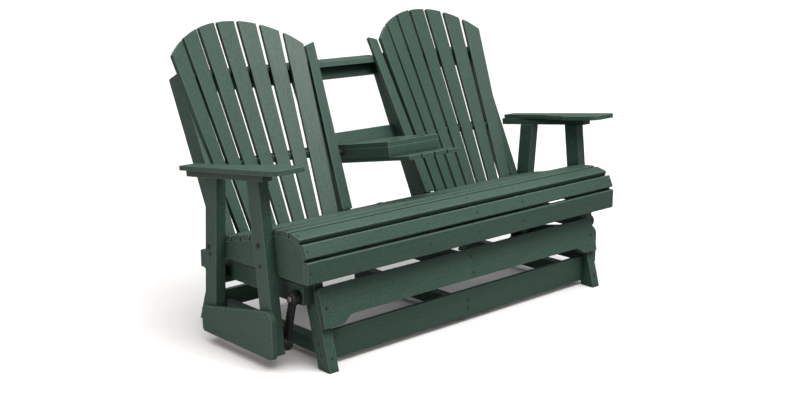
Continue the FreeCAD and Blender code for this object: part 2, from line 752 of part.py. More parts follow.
def post_corners(foot, lean):
    rear = foot + size("post_width")
    return [(foot + lean * POST_BOTTOM, POST_BOTTOM), (rear + lean * POST_BOTTOM, POST_BOTTOM),
            post_top(rear, lean), post_top(foot, lean)]


front_post = post_corners(size("front_post_foot"), tangent(size("front_post_lean")))
rear_post = post_corners(size("rear_post_foot"), -tangent(size("rear_post_lean")))
for name, side in SIDES:
    for end, corners, pivot in (("front", front_post, front_low_pivot),
                                ("rear", rear_post, rear_low_pivot)):
        post = plank("post_%s_%s" % (end, name), "YZ_Plane", corners, HEAVY)
        drill(post, "YZ_Plane", pivot, bolt_hole)
        drill_post_bolts(post, (end,))
        place(post, x=start_x(side, SEAT_HALF, HEAVY))
        node(post)

# Seat sides: armrests, drawn on their own slope, with a wide front paddle
paddle = size("paddle_length")
waist = paddle + size("paddle_curve")
curve_half = paddle + size("paddle_curve") / 2
outer = POST_OUTER + size("armrest_overhang")
inner_front = outer - size("armrest_front_width")
inner_waist = outer - size("armrest_waist_width")
inner_half = (inner_front + inner_waist) / 2
narrowing = inner_waist - inner_front
curve_length = size("paddle_curve")
curve_radius = (curve_length * curve_length + narrowing * narrowing) / (narrowing * 4)
for name, side in SIDES:
    corners = [
        (outer * side, 0),
        (outer * side, size("armrest_length")),
        ((outer - size("armrest_rear_width")) * side, size("armrest_length")),
        (inner_waist * side, waist),
        (inner_half * side, curve_half),
        (inner_front * side, paddle),
        (inner_front * side, 0),
    ]
    arcs = {3: (curve_radius, side), 4: (curve_radius, -side)}
    armrest = plank("armrest_" + name, "XY_Plane", corners, THIN, arcs)
    for x in (outer, inner_front):
        round_corner(armrest, corner_at("z", (x * side, 0)), size("armrest_corner"), "FrontCorner")
    slope = size("armrest_slope")
    place(armrest, y=size("armrest_front") - THIN * sine(slope),
          z=size("armrest_height") - THIN * cosine(slope), turn=-slope)
    node(armrest)
    rail_end = size("arm_rail_start") + size("arm_rail_length")
    corners = bar_corners(size("arm_rail_start"), rail_end, -size("arm_rail_depth"), 0)
    arm_rail = plank("arm_rail_" + name, "YZ_Plane", corners, HEAVY)
    rail_inner = SEAT_HALF + size("arm_rail_offset")
    place(arm_rail, x=start_x(side, rail_inner, HEAVY), y=size("armrest_front") - THIN * sine(slope),
          z=size("armrest_height") - THIN * cosine(slope), turn=-slope)
    node(arm_rail)

# Seat sides: glide panels that cover the swing arms' lower ends
corners = [
    (size("panel_front"), size("panel_bottom")),
    (size("panel_rear"), size("panel_bottom")),
    (size("panel_rear"), size("panel_rear_height")),
    (size("panel_front"), size("panel_front_height")),
]
for name, side in SIDES:
    panel = plank("glide_panel_" + name, "YZ_Plane", corners, BOARD)
    round_corner(panel, corner_at("x", corners[3]), size("panel_shoulder"), "Shoulder")
    for corner in corners[:3]:
        round_corner(panel, corner_at("x", corner), size("panel_corner"), "Corner")
    place(panel, x=start_x(side, POST_OUTER, BOARD))
    node(panel)

# Back: places on its slope, up from the fan's foot and in from its front surface
TILT = size("back_tilt")


def back_y_at(depth, z):
    """Y at a height, on the plane that is this far behind the fan's front surface."""
    return size("back_y") + (depth + (z - size("back_z")) * sine(TILT)) / cosine(TILT)


def back_spot(up, depth):
    y = size("back_y") + sine(TILT) * up + cosine(TILT) * depth
    z = size("back_z") + cosine(TILT) * up - sine(TILT) * depth
    return (y, z)


# Back: tapered slats round the hollow of each fan, trimmed to its crown
FAN_RADIUS = size("fan_radius")
FAN_HEIGHT = size("fan_height")
SLATS_PER_FAN = 7
TRIM = 20


def pitch_at(up):
    """Slat pitch at a distance up the slope from the fan's foot."""
    low, top = size("fan_low_pitch"), size("fan_top_pitch")
    return low + (top - low) * up / FAN_HEIGHT


def on_hollow(offset, up):
    """Point of the fan's hollow front at an arc length from its centre line."""
    angle = offset / FAN_RADIUS.value
    hollow = FAN_RADIUS.value * (1 - math.cos(angle))
    return FreeCAD.Vector(FAN_RADIUS.value * math.sin(angle), -hollow, up)


def back_frame(x):
    """Across, rearward and up the slope, from the foot of the back at this X."""
    foot = FreeCAD.Vector(x, size("back_y").value, size("back_z").value)
    return FreeCAD.Placement(foot, FreeCAD.Rotation(FreeCAD.Vector(-1, 0, 0), TILT.value))


def leaning_board(label, frame, low, top, turn, corners):
    """Board whose front face runs from low to top in a frame, turned about that line."""
    body = plank(label, "XZ_Plane", corners, THIN)
    ease(body, lambda edge: abs(edge.Curve.Direction.z) > 0.9, size("edge_round"))
    rise = (top - low).normalize()
    across = FreeCAD.Vector(math.cos(turn), -math.sin(turn), 0)
    rearward = rise.cross(across).normalize()
    facing = FreeCAD.Rotation(rearward.cross(rise), rearward, rise, "ZYX")
    body.Placement = frame * FreeCAD.Placement(low + rearward * THIN.value, facing)
    return body


def fan_slat(label, frame, count):
    """Tapered slat; count is its place from the fan's centre line."""
    low, top = -size("slat_drop") - TRIM, FAN_HEIGHT + TRIM
    low_point = on_hollow(pitch_at(low).value * count, low.value)
    top_point = on_hollow(pitch_at(top).value * count, top.value)
    turn = pitch_at(FAN_HEIGHT / 2).value * count / FAN_RADIUS.value
    low_half = (pitch_at(low) - size("slat_gap")) / 2
    top_half = (pitch_at(top) - size("slat_gap")) / 2
    length = (top_point - low_point).Length
    corners = [(-low_half, 0), (low_half, 0), (top_half, length), (-top_half, length)]
    return leaning_board(label, frame, low_point, top_point, turn, corners)


def crown_block(label, frame):
    """Block with the fan's outline: level foot and a round crown."""
    half = pitch_at(FAN_HEIGHT) * (SLATS_PER_FAN / 2) + TRIM / 2
    crown = size("fan_crown")
    shoulder = FAN_HEIGHT - crown + root(crown * crown - half * half)
    foot = -size("slat_drop")
    corners = [(-half, foot), (half, foot), (half, shoulder), (-half, shoulder)]
    depth = FAN_RADIUS / 4
    block = plank(label, "XZ_Plane", corners, depth, {2: (crown, 1)})
    block.Placement = frame * FreeCAD.Placement(FreeCAD.Vector(0, depth.value / 2, 0), FreeCAD.Rotation())
    return block


def console_strip(label, side):
    """Narrow strip on the inner upright, with a top cut to its own slope."""
    half = size("strip_width") / 2
    height = size("strip_height") + size("slat_drop")
    rise = size("strip_rise")
    front = size("upright_front") - THIN
    low = FreeCAD.Vector(size("strip_low_spread").value * side, front.value, -size("slat_drop").value)
    top = FreeCAD.Vector(size("strip_top_spread").value * side, front.value, size("strip_height").value)
    left_rise, right_rise = (rise, 0) if side > 0 else (0, rise)
    corners = [(-half, 0), (half, 0), (half, height + right_rise), (-half, height + left_rise)]
    return leaning_board(label, back_frame(0), low, top, 0, corners)


fans = {}
for name, side in SIDES:
    frame = back_frame(size("fan_centre").value * side)
    block = crown_block("crown_block_" + name, frame)
    slats = []
    for place_in_fan in range(SLATS_PER_FAN):
        label = "back_slat_%s_%d" % (name, place_in_fan + 1)
        count = (place_in_fan - (SLATS_PER_FAN - 1) / 2) * side
        blank = fan_slat(label + "_blank", frame, count)
        slat = doc.addObject("Part::Common", label)
        slat.Base = blank
        slat.Tool = block
        slats.append(slat)
    slats.append(console_strip("console_strip_" + name, side))
    fans[name] = group("back_slats_" + name, slats)

# Back: uprights on edge, cut where the edge slats sit on them
UPRIGHT_FRONT = size("upright_front")
UPRIGHT_REAR = UPRIGHT_FRONT + size("upright_depth")
UPRIGHT_INNER = SEAT_HALF - RIB - HEAVY
upright_up = (size("upright_top") - size("back_z") + UPRIGHT_FRONT * sine(TILT)) / cosine(TILT)
upright_corners = [
    (back_y_at(UPRIGHT_FRONT, rib_bottom), rib_bottom),
    (back_y_at(UPRIGHT_REAR, rib_bottom), rib_bottom),
    back_spot(upright_up, UPRIGHT_REAR),
    back_spot(upright_up, UPRIGHT_FRONT),
]
console_pivot = (size("console_pivot_y"), size("console_pivot_z"))
for name, side in SIDES:
    upright = plank("upright_outer_blank_" + name, "YZ_Plane", upright_corners, HEAVY)
    drill_post_bolts(upright, ("rear",))
    place(upright, x=start_x(side, UPRIGHT_INNER, HEAVY))
    node(cut("upright_outer_" + name, upright, fans[name]))
    upright = plank("upright_inner_blank_" + name, "YZ_Plane", upright_corners, HEAVY)
    drill(upright, "YZ_Plane", console_pivot, bolt_hole)
    place(upright, x=start_x(side, INNER_UPRIGHT, HEAVY))
    node(cut("upright_inner_" + name, upright, fans[name]))

# Back: level curved boards behind each fan, cut where the slats sit on them
BAY_INNER = INNER_UPRIGHT + HEAVY


def hollow_at(x):
    """How far the fan's front surface comes forward at this X."""
    offset = x - size("fan_centre")
    return FAN_RADIUS - root(FAN_RADIUS * FAN_RADIUS - offset * offset)


def curved_brace(label, name, side, top, thickness):
    """Level board between a fan's uprights, its front edge hollowed like the fan."""
    bottom = top - thickness
    middle = top - thickness / 2
    behind = THIN - thickness / 2 * sine(TILT) - 1
    front_inner = back_y_at(behind - hollow_at(BAY_INNER), middle)
    front_outer = back_y_at(behind - hollow_at(UPRIGHT_INNER), middle)
    rear = back_y_at(UPRIGHT_REAR, bottom)
    corners = [(BAY_INNER * side, front_inner), (UPRIGHT_INNER * side, front_outer),
               (UPRIGHT_INNER * side, rear), (BAY_INNER * side, rear)]
    arcs = {0: (FAN_RADIUS * cosine(TILT), -side)}
    blank = plank(label + "_blank_" + name, "XY_Plane", corners, thickness, arcs)
    place(blank, z=bottom)
    return cut(label + "_" + name, blank, fans[name])


LEDGE_TOP = size("ledge_top")
LEDGE = size("ledge_stock")
ledge_bottom = LEDGE_TOP - LEDGE
fan_braces = []
for name, side in SIDES:
    node(curved_brace("fan_ledge", name, side, LEDGE_TOP, LEDGE))
    fan_braces.append(curved_brace("fan_brace", name, side, size("brace_top"), RIB))
group("fan_braces", fan_braces)

# Back: backing boards under the ledges and the console's ledge and lower rail
backing_front = UPRIGHT_REAR - BOARD
backing_bottom = ledge_bottom - size("backing_drop")
backing_foot = (backing_bottom - size("back_z") + backing_front * sine(TILT)) / cosine(TILT)
backing_corners = [
    back_spot(backing_foot, backing_front),
    back_spot(backing_foot, UPRIGHT_REAR),
    (back_y_at(UPRIGHT_REAR, ledge_bottom), ledge_bottom),
    (back_y_at(backing_front, ledge_bottom), ledge_bottom),
]
fan_bay = UPRIGHT_INNER - BAY_INNER
fan_backings = []
for name, side in SIDES:
    backing = plank("fan_backing_" + name, "YZ_Plane", backing_corners, fan_bay)
    place(backing, x=start_x(side, BAY_INNER, fan_bay))
    fan_backings.append(backing)
group("fan_backings", fan_backings)
backing = node(plank("console_backing", "YZ_Plane", backing_corners, INNER_UPRIGHT * 2))
place(backing, x=-INNER_UPRIGHT)
corners = [
    (back_y_at(UPRIGHT_FRONT, ledge_bottom), ledge_bottom),
    (back_y_at(UPRIGHT_REAR, ledge_bottom), ledge_bottom),
    (back_y_at(UPRIGHT_REAR, ledge_bottom), LEDGE_TOP),
    (back_y_at(UPRIGHT_FRONT, LEDGE_TOP), LEDGE_TOP),
]
console_ledge = node(plank("console_ledge", "YZ_Plane", corners, INNER_UPRIGHT * 2))
place(console_ledge, x=-INNER_UPRIGHT)
rail_up = (size("console_rail_top") - size("back_z") + backing_front * sine(TILT)) / cosine(TILT)
rail_foot = rail_up - size("console_rail_depth")
corners = [
    back_spot(rail_foot, backing_front),
    back_spot(rail_foot, UPRIGHT_REAR),
    back_spot(rail_up, UPRIGHT_REAR),
    back_spot(rail_up, backing_front),
]
console_rail = node(plank("console_rail", "YZ_Plane", corners, INNER_UPRIGHT * 2))
place(console_rail, x=-INNER_UPRIGHT)

# Console: a shallow box on slats, drawn from its pivot and tilted as it rests
CONSOLE_HALF = size("console_width") / 2
CONSOLE_TILT = size("console_tilt")
REACH = size("console_reach")
TAIL = size("console_tail")
slat_bottom = -size("console_pivot_rise")
box_bottom = slat_bottom + size("console_slat_stock")
box_top = box_bottom + size("console_side_depth")


def place_console(piece, x=0, up=0):
    """Turn a console piece to the console's rest, this far above its pivot."""
    y = console_pivot[0] + sine(CONSOLE_TILT) * up
    z = console_pivot[1] + cosine(CONSOLE_TILT) * up
    place(piece, x=x, y=y, z=z, turn=-CONSOLE_TILT)


def flat_corners(half, front, rear):
    return [(-half, front), (half, front), (half, rear), (-half, rear)]


console_top = plank("console_top", "XY_Plane", flat_corners(CONSOLE_HALF, -REACH, TAIL), BOARD)
for side in (-1, 1):
    spot = (size("cup_hole_spread") * side, size("cup_hole_setback") - REACH)
    drill(console_top, "XY_Plane", spot, size("cup_hole_radius"))
place_console(console_top, up=box_top)
node(console_top)

corners = bar_corners(-REACH, BOARD - REACH, box_bottom, box_top)
console_front = node(plank("console_front", "YZ_Plane", corners, CONSOLE_HALF * 2))
place_console(console_front, x=-CONSOLE_HALF)
console_sides = []
for name, side in SIDES:
    corners = bar_corners(BOARD - REACH, TAIL, box_bottom, box_top)
    console_side = plank("console_side_" + name, "YZ_Plane", corners, BOARD)
    drill(console_side, "YZ_Plane", (0, 0), bolt_hole)
    place_console(console_side, x=start_x(side, CONSOLE_HALF - BOARD, BOARD))
    console_sides.append(console_side)
group("console_sides", console_sides)
back_rear = -head - GAP
corners = bar_corners(back_rear - BOARD, back_rear, box_bottom, box_top)
console_back = node(plank("console_back", "YZ_Plane", corners, (CONSOLE_HALF - BOARD) * 2))
place_console(console_back, x=BOARD - CONSOLE_HALF)

console_slats = []
slat_half = size("console_slat_width") / 2
slat_pitch = (CONSOLE_HALF - slat_half) * 2 / 3
for count in range(4):
    corners = flat_corners(slat_half, -size("console_slat_reach"), TAIL)
    slat = plank("console_slat_%d" % (count + 1), "XY_Plane", corners, size("console_slat_stock"))
    place_console(slat, x=slat_half - CONSOLE_HALF + slat_pitch * count, up=slat_bottom)
    console_slats.append(slat)
group("console_slats", console_slats)

bolts = []
for name, side in SIDES:
    inner = CONSOLE_HALF - BOARD - size("side_play")
    heads = [(inner - head_depth, inner, size("post_bolt_head")),
             (CONSOLE_HALF + size("side_play"), INNER_UPRIGHT, head)]
    shank = (inner, INNER_UPRIGHT + HEAVY, shank_radius)
    bolts.append(bolt("console_bolt_" + name, side, console_pivot, shank, heads))
group("console_pivot_bolts", bolts)

# Bolts through posts, ribs and outer uprights
bolts = []
for name, side in SIDES:
    for end, inner in (("front", SEAT_HALF - RIB), ("rear", UPRIGHT_INNER)):
        nut = (inner - size("post_bolt_depth"), inner, size("post_bolt_head"))
        outer = (POST_OUTER, POST_OUTER + size("post_bolt_depth"), size("post_bolt_head"))
        shank = (inner, POST_OUTER, size("post_bolt_radius"))
        bolts.append(bolt("post_bolt_%s_%s" % (end, name), side, POST_BOLTS[end], shank, [nut, outer]))
group("post_bolts", bolts)

# Check every object, then write each sub-part
doc.recompute()
for thing in doc.Objects:
    if "Invalid" in thing.State or "Error" in thing.State:
        raise ValueError("%s did not build: %s" % (thing.Label, thing.State))
for piece in nodes:
    if piece.Shape.isNull() or not piece.Shape.isValid():
        raise ValueError("%s has no valid shape" % piece.Label)
    piece.Shape.exportStep("parts/%s.step" % piece.Label)
    print("%-26s %d solid %.0f mm3" % (piece.Label, len(piece.Shape.Solids), piece.Shape.Volume))
print(len(nodes), "sub-parts")
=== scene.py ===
# %% [markdown]
# # A porch glider in recycled plastic boards
# The bench is screwed together from dark green boards. Its seat hangs on four black swing
# arms between two low side frames, and a small console folds between the two fan backs.
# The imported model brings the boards, arms and bolts at full size, so this lesson starts by
# loading it. It adds what the solids leave out: the finish, the screws, four bolts, the
# rounded slats, the arms' fine shape and one board at the rear. It also corrects some boards
# that the picture shows a little shorter, longer or narrower.

import math

import bmesh
import bpy
from mathutils import Euler, Matrix, Vector


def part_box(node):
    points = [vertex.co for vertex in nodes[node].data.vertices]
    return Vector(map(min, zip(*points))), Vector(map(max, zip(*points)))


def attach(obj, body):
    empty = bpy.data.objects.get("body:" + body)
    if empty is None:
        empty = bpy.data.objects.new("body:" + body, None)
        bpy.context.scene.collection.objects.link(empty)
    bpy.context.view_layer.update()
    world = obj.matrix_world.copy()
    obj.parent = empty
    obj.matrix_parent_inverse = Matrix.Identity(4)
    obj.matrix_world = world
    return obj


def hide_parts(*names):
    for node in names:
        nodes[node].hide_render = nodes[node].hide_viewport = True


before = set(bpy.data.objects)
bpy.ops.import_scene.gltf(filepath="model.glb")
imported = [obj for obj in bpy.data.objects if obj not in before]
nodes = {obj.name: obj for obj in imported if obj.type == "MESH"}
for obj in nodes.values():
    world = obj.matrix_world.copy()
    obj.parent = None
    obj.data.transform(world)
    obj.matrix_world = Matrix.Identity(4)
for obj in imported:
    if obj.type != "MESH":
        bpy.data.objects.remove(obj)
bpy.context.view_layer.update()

# %% [markdown]
# ## Camera
# The picture was taken from the bench's left front corner, a little above the backs. A camera
# that looks straight down is tipped up to the horizon, then down by the pitch, and turned
# to the side by the yaw. The shift moves the picture a few pixels without turning the
# camera, which is how an off-centre crop is matched.

# %% Place the camera
IMAGE_WIDTH = 800
FOCAL_PIXELS = 1135.79
SENSOR_WIDTH = 36.0
CAMERA_SHIFT = (-0.009875, 0.00125)
CAMERA_PLACE = (-2.80335, -3.10068, 1.37395)
CAMERA_PITCH = math.radians(90 - 13.82)
CAMERA_ROLL = math.radians(-0.10)
CAMERA_YAW = math.radians(-42.56)
FARTHEST_SEEN = 200.0

camera_data = bpy.data.cameras.new("view_camera")
camera_data.sensor_width = SENSOR_WIDTH
camera_data.lens = FOCAL_PIXELS * SENSOR_WIDTH / IMAGE_WIDTH
camera_data.shift_x, camera_data.shift_y = CAMERA_SHIFT
camera_data.clip_end = FARTHEST_SEEN
camera = bpy.data.objects.new("view_camera", camera_data)
turn = (Matrix.Rotation(CAMERA_YAW, 4, "Z") @ Matrix.Rotation(CAMERA_PITCH, 4, "X")
        @ Matrix.Rotation(CAMERA_ROLL, 4, "Z"))
camera.matrix_world = Matrix.Translation(CAMERA_PLACE) @ turn
bpy.context.scene.collection.objects.link(camera)
bpy.context.scene.camera = camera
print("lens %.1f mm" % camera_data.lens)

# %% [markdown]
# ## Studio light
# A white studio lights such a picture mostly from above: a broad soft light overhead, a
# second one high in front, and only a little from the walls. Suns with very wide discs do
# this evenly and keep every shadow soft. Two area lamps stand close, so their light fades
# along the bench as it does in the picture: one in front of the seat and above it, and a
# low warm one beside the left end. A dim world is the room, while the camera itself sees a
# white backdrop behind the bench.

# %% Set the room around the bench
ROOM_COLOUR = (0.97, 0.98, 1.0, 1)
ROOM_STRENGTH = 0.26
BACKDROP_COLOUR = (1.0, 1.0, 1.0, 1)

scene = bpy.context.scene
scene.view_settings.view_transform = "Standard"
world = bpy.data.worlds.new("studio")
world.use_nodes = True
air = world.node_tree
room = air.nodes["Background"]
room.inputs["Color"].default_value = ROOM_COLOUR
room.inputs["Strength"].default_value = ROOM_STRENGTH
backdrop = air.nodes.new("ShaderNodeBackground")
backdrop.inputs["Color"].default_value = BACKDROP_COLOUR
choose = air.nodes.new("ShaderNodeMixShader")
seen_by_camera = air.nodes.new("ShaderNodeLightPath")
air.links.new(seen_by_camera.outputs["Is Camera Ray"], choose.inputs["Fac"])
air.links.new(room.outputs["Background"], choose.inputs[1])
air.links.new(backdrop.outputs["Background"], choose.inputs[2])
air.links.new(choose.outputs["Shader"], air.nodes["World Output"].inputs["Surface"])
scene.world = world
print("room strength", ROOM_STRENGTH)

# %% [markdown]
# ## Lamps
# A table is the clearest way to tune lamps against a picture: one row is one lamp. A sun's
# size is the angle of its disc and its power is per square metre. An area lamp's size is in
# metres and its power in watts. No lamp shows in the picture itself.

# %% Hang the lamps
BENCH_MIDDLE = (0, 0, 0.5)
WHITE = (1.0, 0.995, 0.985)
WARM = (1.0, 0.78, 0.72)
WIDE = math.radians(60)
WIDEST = math.radians(80)
LAMPS = [
    # name, kind, place, target, power, colour, size
    ("overhead", "SUN", (0, 0, 6), BENCH_MIDDLE, 2.0, WHITE, WIDEST),
    ("front_sky", "SUN", (0, -3, 5.7), BENCH_MIDDLE, 1.35, WHITE, WIDE),
    ("right_fill", "SUN", (4, -1, 4.5), BENCH_MIDDLE, 0.2, WHITE, WIDE),
    ("rear_fill", "SUN", (-1, 4, 2.6), BENCH_MIDDLE, 0.45, WHITE, WIDE),
    ("front_near", "AREA", (-0.2, -1.4, 2.4), (-0.1, -0.1, 0.4), 29, WHITE, 1.2),
    ("left_low", "AREA", (-1.65, -0.25, 0.14), (-0.8, -0.15, 0.2), 4.2, WARM, 0.6),
]


def add_lamp(name, kind, place, target, power, colour, size):
    """Lamp at a place that shines at the target."""
    lamp = bpy.data.lights.new(name, kind)
    lamp.energy = power
    lamp.color = colour
    if kind == "SUN":
        lamp.angle = size
    else:
        lamp.shape = "DISK"
        lamp.size = size
    lamp_object = bpy.data.objects.new(name, lamp)
    lamp_object.visible_camera = False
    aim = (Vector(target) - Vector(place)).to_track_quat("-Z", "Y")
    lamp_object.matrix_world = Matrix.Translation(place) @ aim.to_matrix().to_4x4()
    scene.collection.objects.link(lamp_object)


for row in LAMPS:
    add_lamp(*row)
print("lamps:", [row[0] for row in LAMPS])

# %% [markdown]
# ## Floor
# The bench stands on a pale paper floor that runs far into the distance. One large grid is
# enough. It is stage, not part of the bench.

# %% Lay the floor
FLOOR_HALF = 60.0
floor_shape = bmesh.new()
bmesh.ops.create_grid(floor_shape, x_segments=4, y_segments=4, size=FLOOR_HALF)
floor_mesh = bpy.data.meshes.new("paper_floor")
floor_shape.to_mesh(floor_mesh)
floor_shape.free()
floor = bpy.data.objects.new("paper_floor", floor_mesh)
scene.collection.objects.link(floor)
print("floor:", FLOOR_HALF * 2, "m wide")

# %% [markdown]
# ## Helpers for shader nodes
# Every finish below is a small network. Helpers keep them readable: one adds a node and
# sets its values, one joins two sockets and one mixes two colours. The other two open a
# group with named inputs and outputs and place it in a material. A group works like a
# function that several materials call.


# %% Helpers for networks
def add_node(tree, kind, inputs=None, **settings):
    """New node with some of its settings and input values set."""
    made = tree.nodes.new("ShaderNode" + kind)
    for name, value in settings.items():
        setattr(made, name, value)
    for name, value in (inputs or {}).items():
        made.inputs[name].default_value = value
    return made


def join(tree, output, target):
    tree.links.new(output, target)


def open_group(name, inputs, outputs):
    """Node group with named sockets; returns it with its input and output nodes."""
    group = bpy.data.node_groups.new(name, "ShaderNodeTree")
    for label, kind, value in inputs:
        socket = group.interface.new_socket(label, in_out="INPUT",
                                            socket_type="NodeSocket" + kind)
        if value is not None:
            socket.default_value = value
    for label, kind in outputs:
        group.interface.new_socket(label, in_out="OUTPUT",
                                   socket_type="NodeSocket" + kind)
    return group, group.nodes.new("NodeGroupInput"), group.nodes.new("NodeGroupOutput")


def mix_colours(tree, factor, first, second):
    """Mix node; a colour may be a socket or a plain value."""
    mixer = add_node(tree, "Mix", data_type="RGBA")
    sockets = (mixer.inputs["Factor"], mixer.inputs[6], mixer.inputs[7])
    for socket, value in zip(sockets, (factor, first, second)):
        if isinstance(value, bpy.types.NodeSocket):
            join(tree, value, socket)
        else:
            socket.default_value = value
    return mixer.outputs[2]


def use_group(tree, group):
    holder = tree.nodes.new("ShaderNodeGroup")
    holder.node_tree = group
    return holder


# %% [markdown]
# ## Embossed board skin
# The boards are extruded plastic, coloured right through and rolled with a shallow wood
# grain. Close up it is long fine streaks along the board, crossed by a fine speckle from
# the plastic itself, with a slow drift of tone. Noise that is stretched in one direction
# makes streaks: the coordinate along the grain is scaled far less than those across.


# %% Group: board skin
def noise_along(tree, vector, along, across, detail):
    """Noise stretched along X; the scales are in waves a metre."""
    scaled = add_node(tree, "Mapping", {"Scale": (along, across, across)})
    join(tree, vector, scaled.inputs["Vector"])
    noise = add_node(tree, "TexNoise", {"Scale": 1.0, "Detail": detail, "Roughness": 0.6})
    join(tree, scaled.outputs["Vector"], noise.inputs["Vector"])
    return noise.outputs["Fac"]


def remap(tree, value, low, high, new_low, new_high):
    """Spread the values between low and high over a new range."""
    ranged = add_node(tree, "MapRange", {"From Min": low, "From Max": high, "To Min": new_low,
                                         "To Max": new_high})
    join(tree, value, ranged.inputs["Value"])
    return ranged.outputs["Result"]


# The part of a noise's range that is spread over a mask, for lively and for slow changes
LIVELY = (0.3, 0.7)
SLOW = (0.35, 0.65)
SPECKLE_SPREAD = (0.30, 0.56)
# Noise scales: waves a metre along the board, waves across it, and the detail
STREAK_NOISE = (9.0, 420.0, 3.0)
SPECKLE_NOISE = (210.0, 330.0, 4.0)
DRIFT_NOISE = (1.3, 5.0, 2.0)
STREAK_STRENGTH = 0.65
DRIFT_STRENGTH = 0.5
SPECKLE_STRENGTH = 0.85
SPECKLE_COLOUR = (0.010, 0.026, 0.019, 1)
SPECKLE_HEIGHT = 0.55
DULL, SHINY = 0.5, 0.38

skin, skin_in, skin_out = open_group(
    "board_skin",
    [("Vector", "Vector", None), ("Tone", "Color", (0.06, 0.11, 0.085, 1)),
     ("Light Tone", "Color", (0.1, 0.16, 0.13, 1))],
    [("Color", "Color"), ("Roughness", "Float"), ("Height", "Float")])
grain_vector = skin_in.outputs["Vector"]
tone, light_tone = skin_in.outputs["Tone"], skin_in.outputs["Light Tone"]
streaks = noise_along(skin, grain_vector, *STREAK_NOISE)
speckle = noise_along(skin, grain_vector, *SPECKLE_NOISE)
drift = noise_along(skin, grain_vector, *DRIFT_NOISE)
streak_share = remap(skin, streaks, *LIVELY, 0.0, STREAK_STRENGTH)
streaked = mix_colours(skin, streak_share, tone, light_tone)
drift_share = remap(skin, drift, *SLOW, 0.0, DRIFT_STRENGTH)
drifted = mix_colours(skin, drift_share, streaked, light_tone)
speckle_share = remap(skin, speckle, *SPECKLE_SPREAD, SPECKLE_STRENGTH, 0.0)
join(skin, mix_colours(skin, speckle_share, drifted, SPECKLE_COLOUR), skin_out.inputs["Color"])
join(skin, remap(skin, streaks, *LIVELY, DULL, SHINY), skin_out.inputs["Roughness"])
height = add_node(skin, "Math", {1: SPECKLE_HEIGHT}, operation="MULTIPLY_ADD")
join(skin, speckle, height.inputs[0])
join(skin, streaks, height.inputs[2])
join(skin, height.outputs[0], skin_out.inputs["Height"])
print("board skin:", len(skin.nodes), "nodes")

# %% [markdown]
# ## Eased and worn edges, with a painted highlight
# A router takes the sharpness off each board, and hands and weather then polish the edges
# lighter. On the boards that lighter edge also stands for the highlight a rounded edge
# catches, so it is partly wear and partly a painted highlight. The Bevel node gives the
# normal that a rounded edge would have. Used as the normal it rounds the edge in the light,
# and where it differs from the true normal is where an edge is, which makes a mask for the
# wear and the painted highlight.

# %% Group: edge finish
edges, edges_in, edges_out = open_group(
    "edge_finish", [("Radius", "Float", 0.003)], [("Normal", "Vector"), ("Mask", "Float")])
rounded = add_node(edges, "Bevel", samples=6)
join(edges, edges_in.outputs["Radius"], rounded.inputs["Radius"])
facing = add_node(edges, "NewGeometry")
sameness = add_node(edges, "VectorMath", operation="DOT_PRODUCT")
join(edges, rounded.outputs["Normal"], sameness.inputs[0])
join(edges, facing.outputs["Normal"], sameness.inputs[1])
join(edges, rounded.outputs["Normal"], edges_out.inputs["Normal"])
FLAT, TURNED = 0.998, 0.85
# This mask lightens the colour at edges: wear, and on the boards also a painted highlight.
edge_share = remap(edges, sameness.outputs["Value"], FLAT, TURNED, 0.0, 1.0)
join(edges, edge_share, edges_out.inputs["Mask"])
print("edge finish:", len(edges.nodes), "nodes")

# %% [markdown]
# ## Painted shade in the joints
# Light hardly reaches into the narrow joints between boards, and this shade is painted into
# the colour. The Ambient Occlusion node tells how much of the sky a point sees within a short
# distance. Its answer, turned round, is a mask for painted shade in gaps and inside corners.

# %% Group: painted joint shade
joint_shade_group, joint_shade_in, joint_shade_out = open_group(
    "painted_joint_shade", [("Distance", "Float", 0.03)], [("Mask", "Float")])
open_sky = add_node(joint_shade_group, "AmbientOcclusion", samples=6)
join(joint_shade_group, joint_shade_in.outputs["Distance"], open_sky.inputs["Distance"])
SHUT_IN, OPEN = 0.2, 0.88
# Painted shade: the less sky a point sees, the darker its colour is painted.
joint_shade_share = remap(joint_shade_group, open_sky.outputs["AO"], SHUT_IN, OPEN, 1.0, 0.0)
join(joint_shade_group, joint_shade_share, joint_shade_out.inputs["Mask"])
print("joint grime:", len(joint_shade_group.nodes), "nodes")

# %% [markdown]
# ## Board materials
# The same skin is laid along each board. A board's direction is given as its lean in the
# side view: 0 is upright, 90 points to the rear and a negative lean points forwards. The
# Mapping node turns the object's coordinates so that the board's length becomes X, where
# the skin expects it. Boards that run across the bench need no turn.

# %% Recipe for the board materials
BOARD_TONE = (0.0310, 0.072, 0.052, 1)
BOARD_LIGHT = (0.056, 0.110, 0.084, 1)
BOARD_WEAR_AND_HIGHLIGHT = (0.190, 0.265, 0.230, 1)
BOARD_PAINTED_SHADE = (0.006, 0.009, 0.009, 1)
WEAR_AND_HIGHLIGHT_STRENGTH = 0.7
PAINTED_SHADE_STRENGTH = 0.97
EMBOSS_STRENGTH = 0.35
EMBOSS_DEPTH = 0.0012
BOARD_SPECULAR = 0.42


def share_of(tree, mask, strength):
    """The mask times a strength, to use as a mixing share."""
    share = add_node(tree, "Math", {1: strength}, operation="MULTIPLY")
    join(tree, mask, share.inputs[0])
    return share.outputs[0]


def grain_place(tree, lean, vector_group):
    """Object coordinates turned so that the grain runs along X."""
    place = add_node(tree, "TexCoord").outputs["Object"]
    if vector_group:
        holder = use_group(tree, vector_group)
        join(tree, place, holder.inputs["Vector"])
        return holder.outputs["Vector"]
    if lean is None:
        return place
    turn = Euler((math.radians(lean), math.radians(90), 0))
    turned = add_node(tree, "Mapping", {"Rotation": turn})
    join(tree, place, turned.inputs["Vector"])
    return turned.outputs["Vector"]


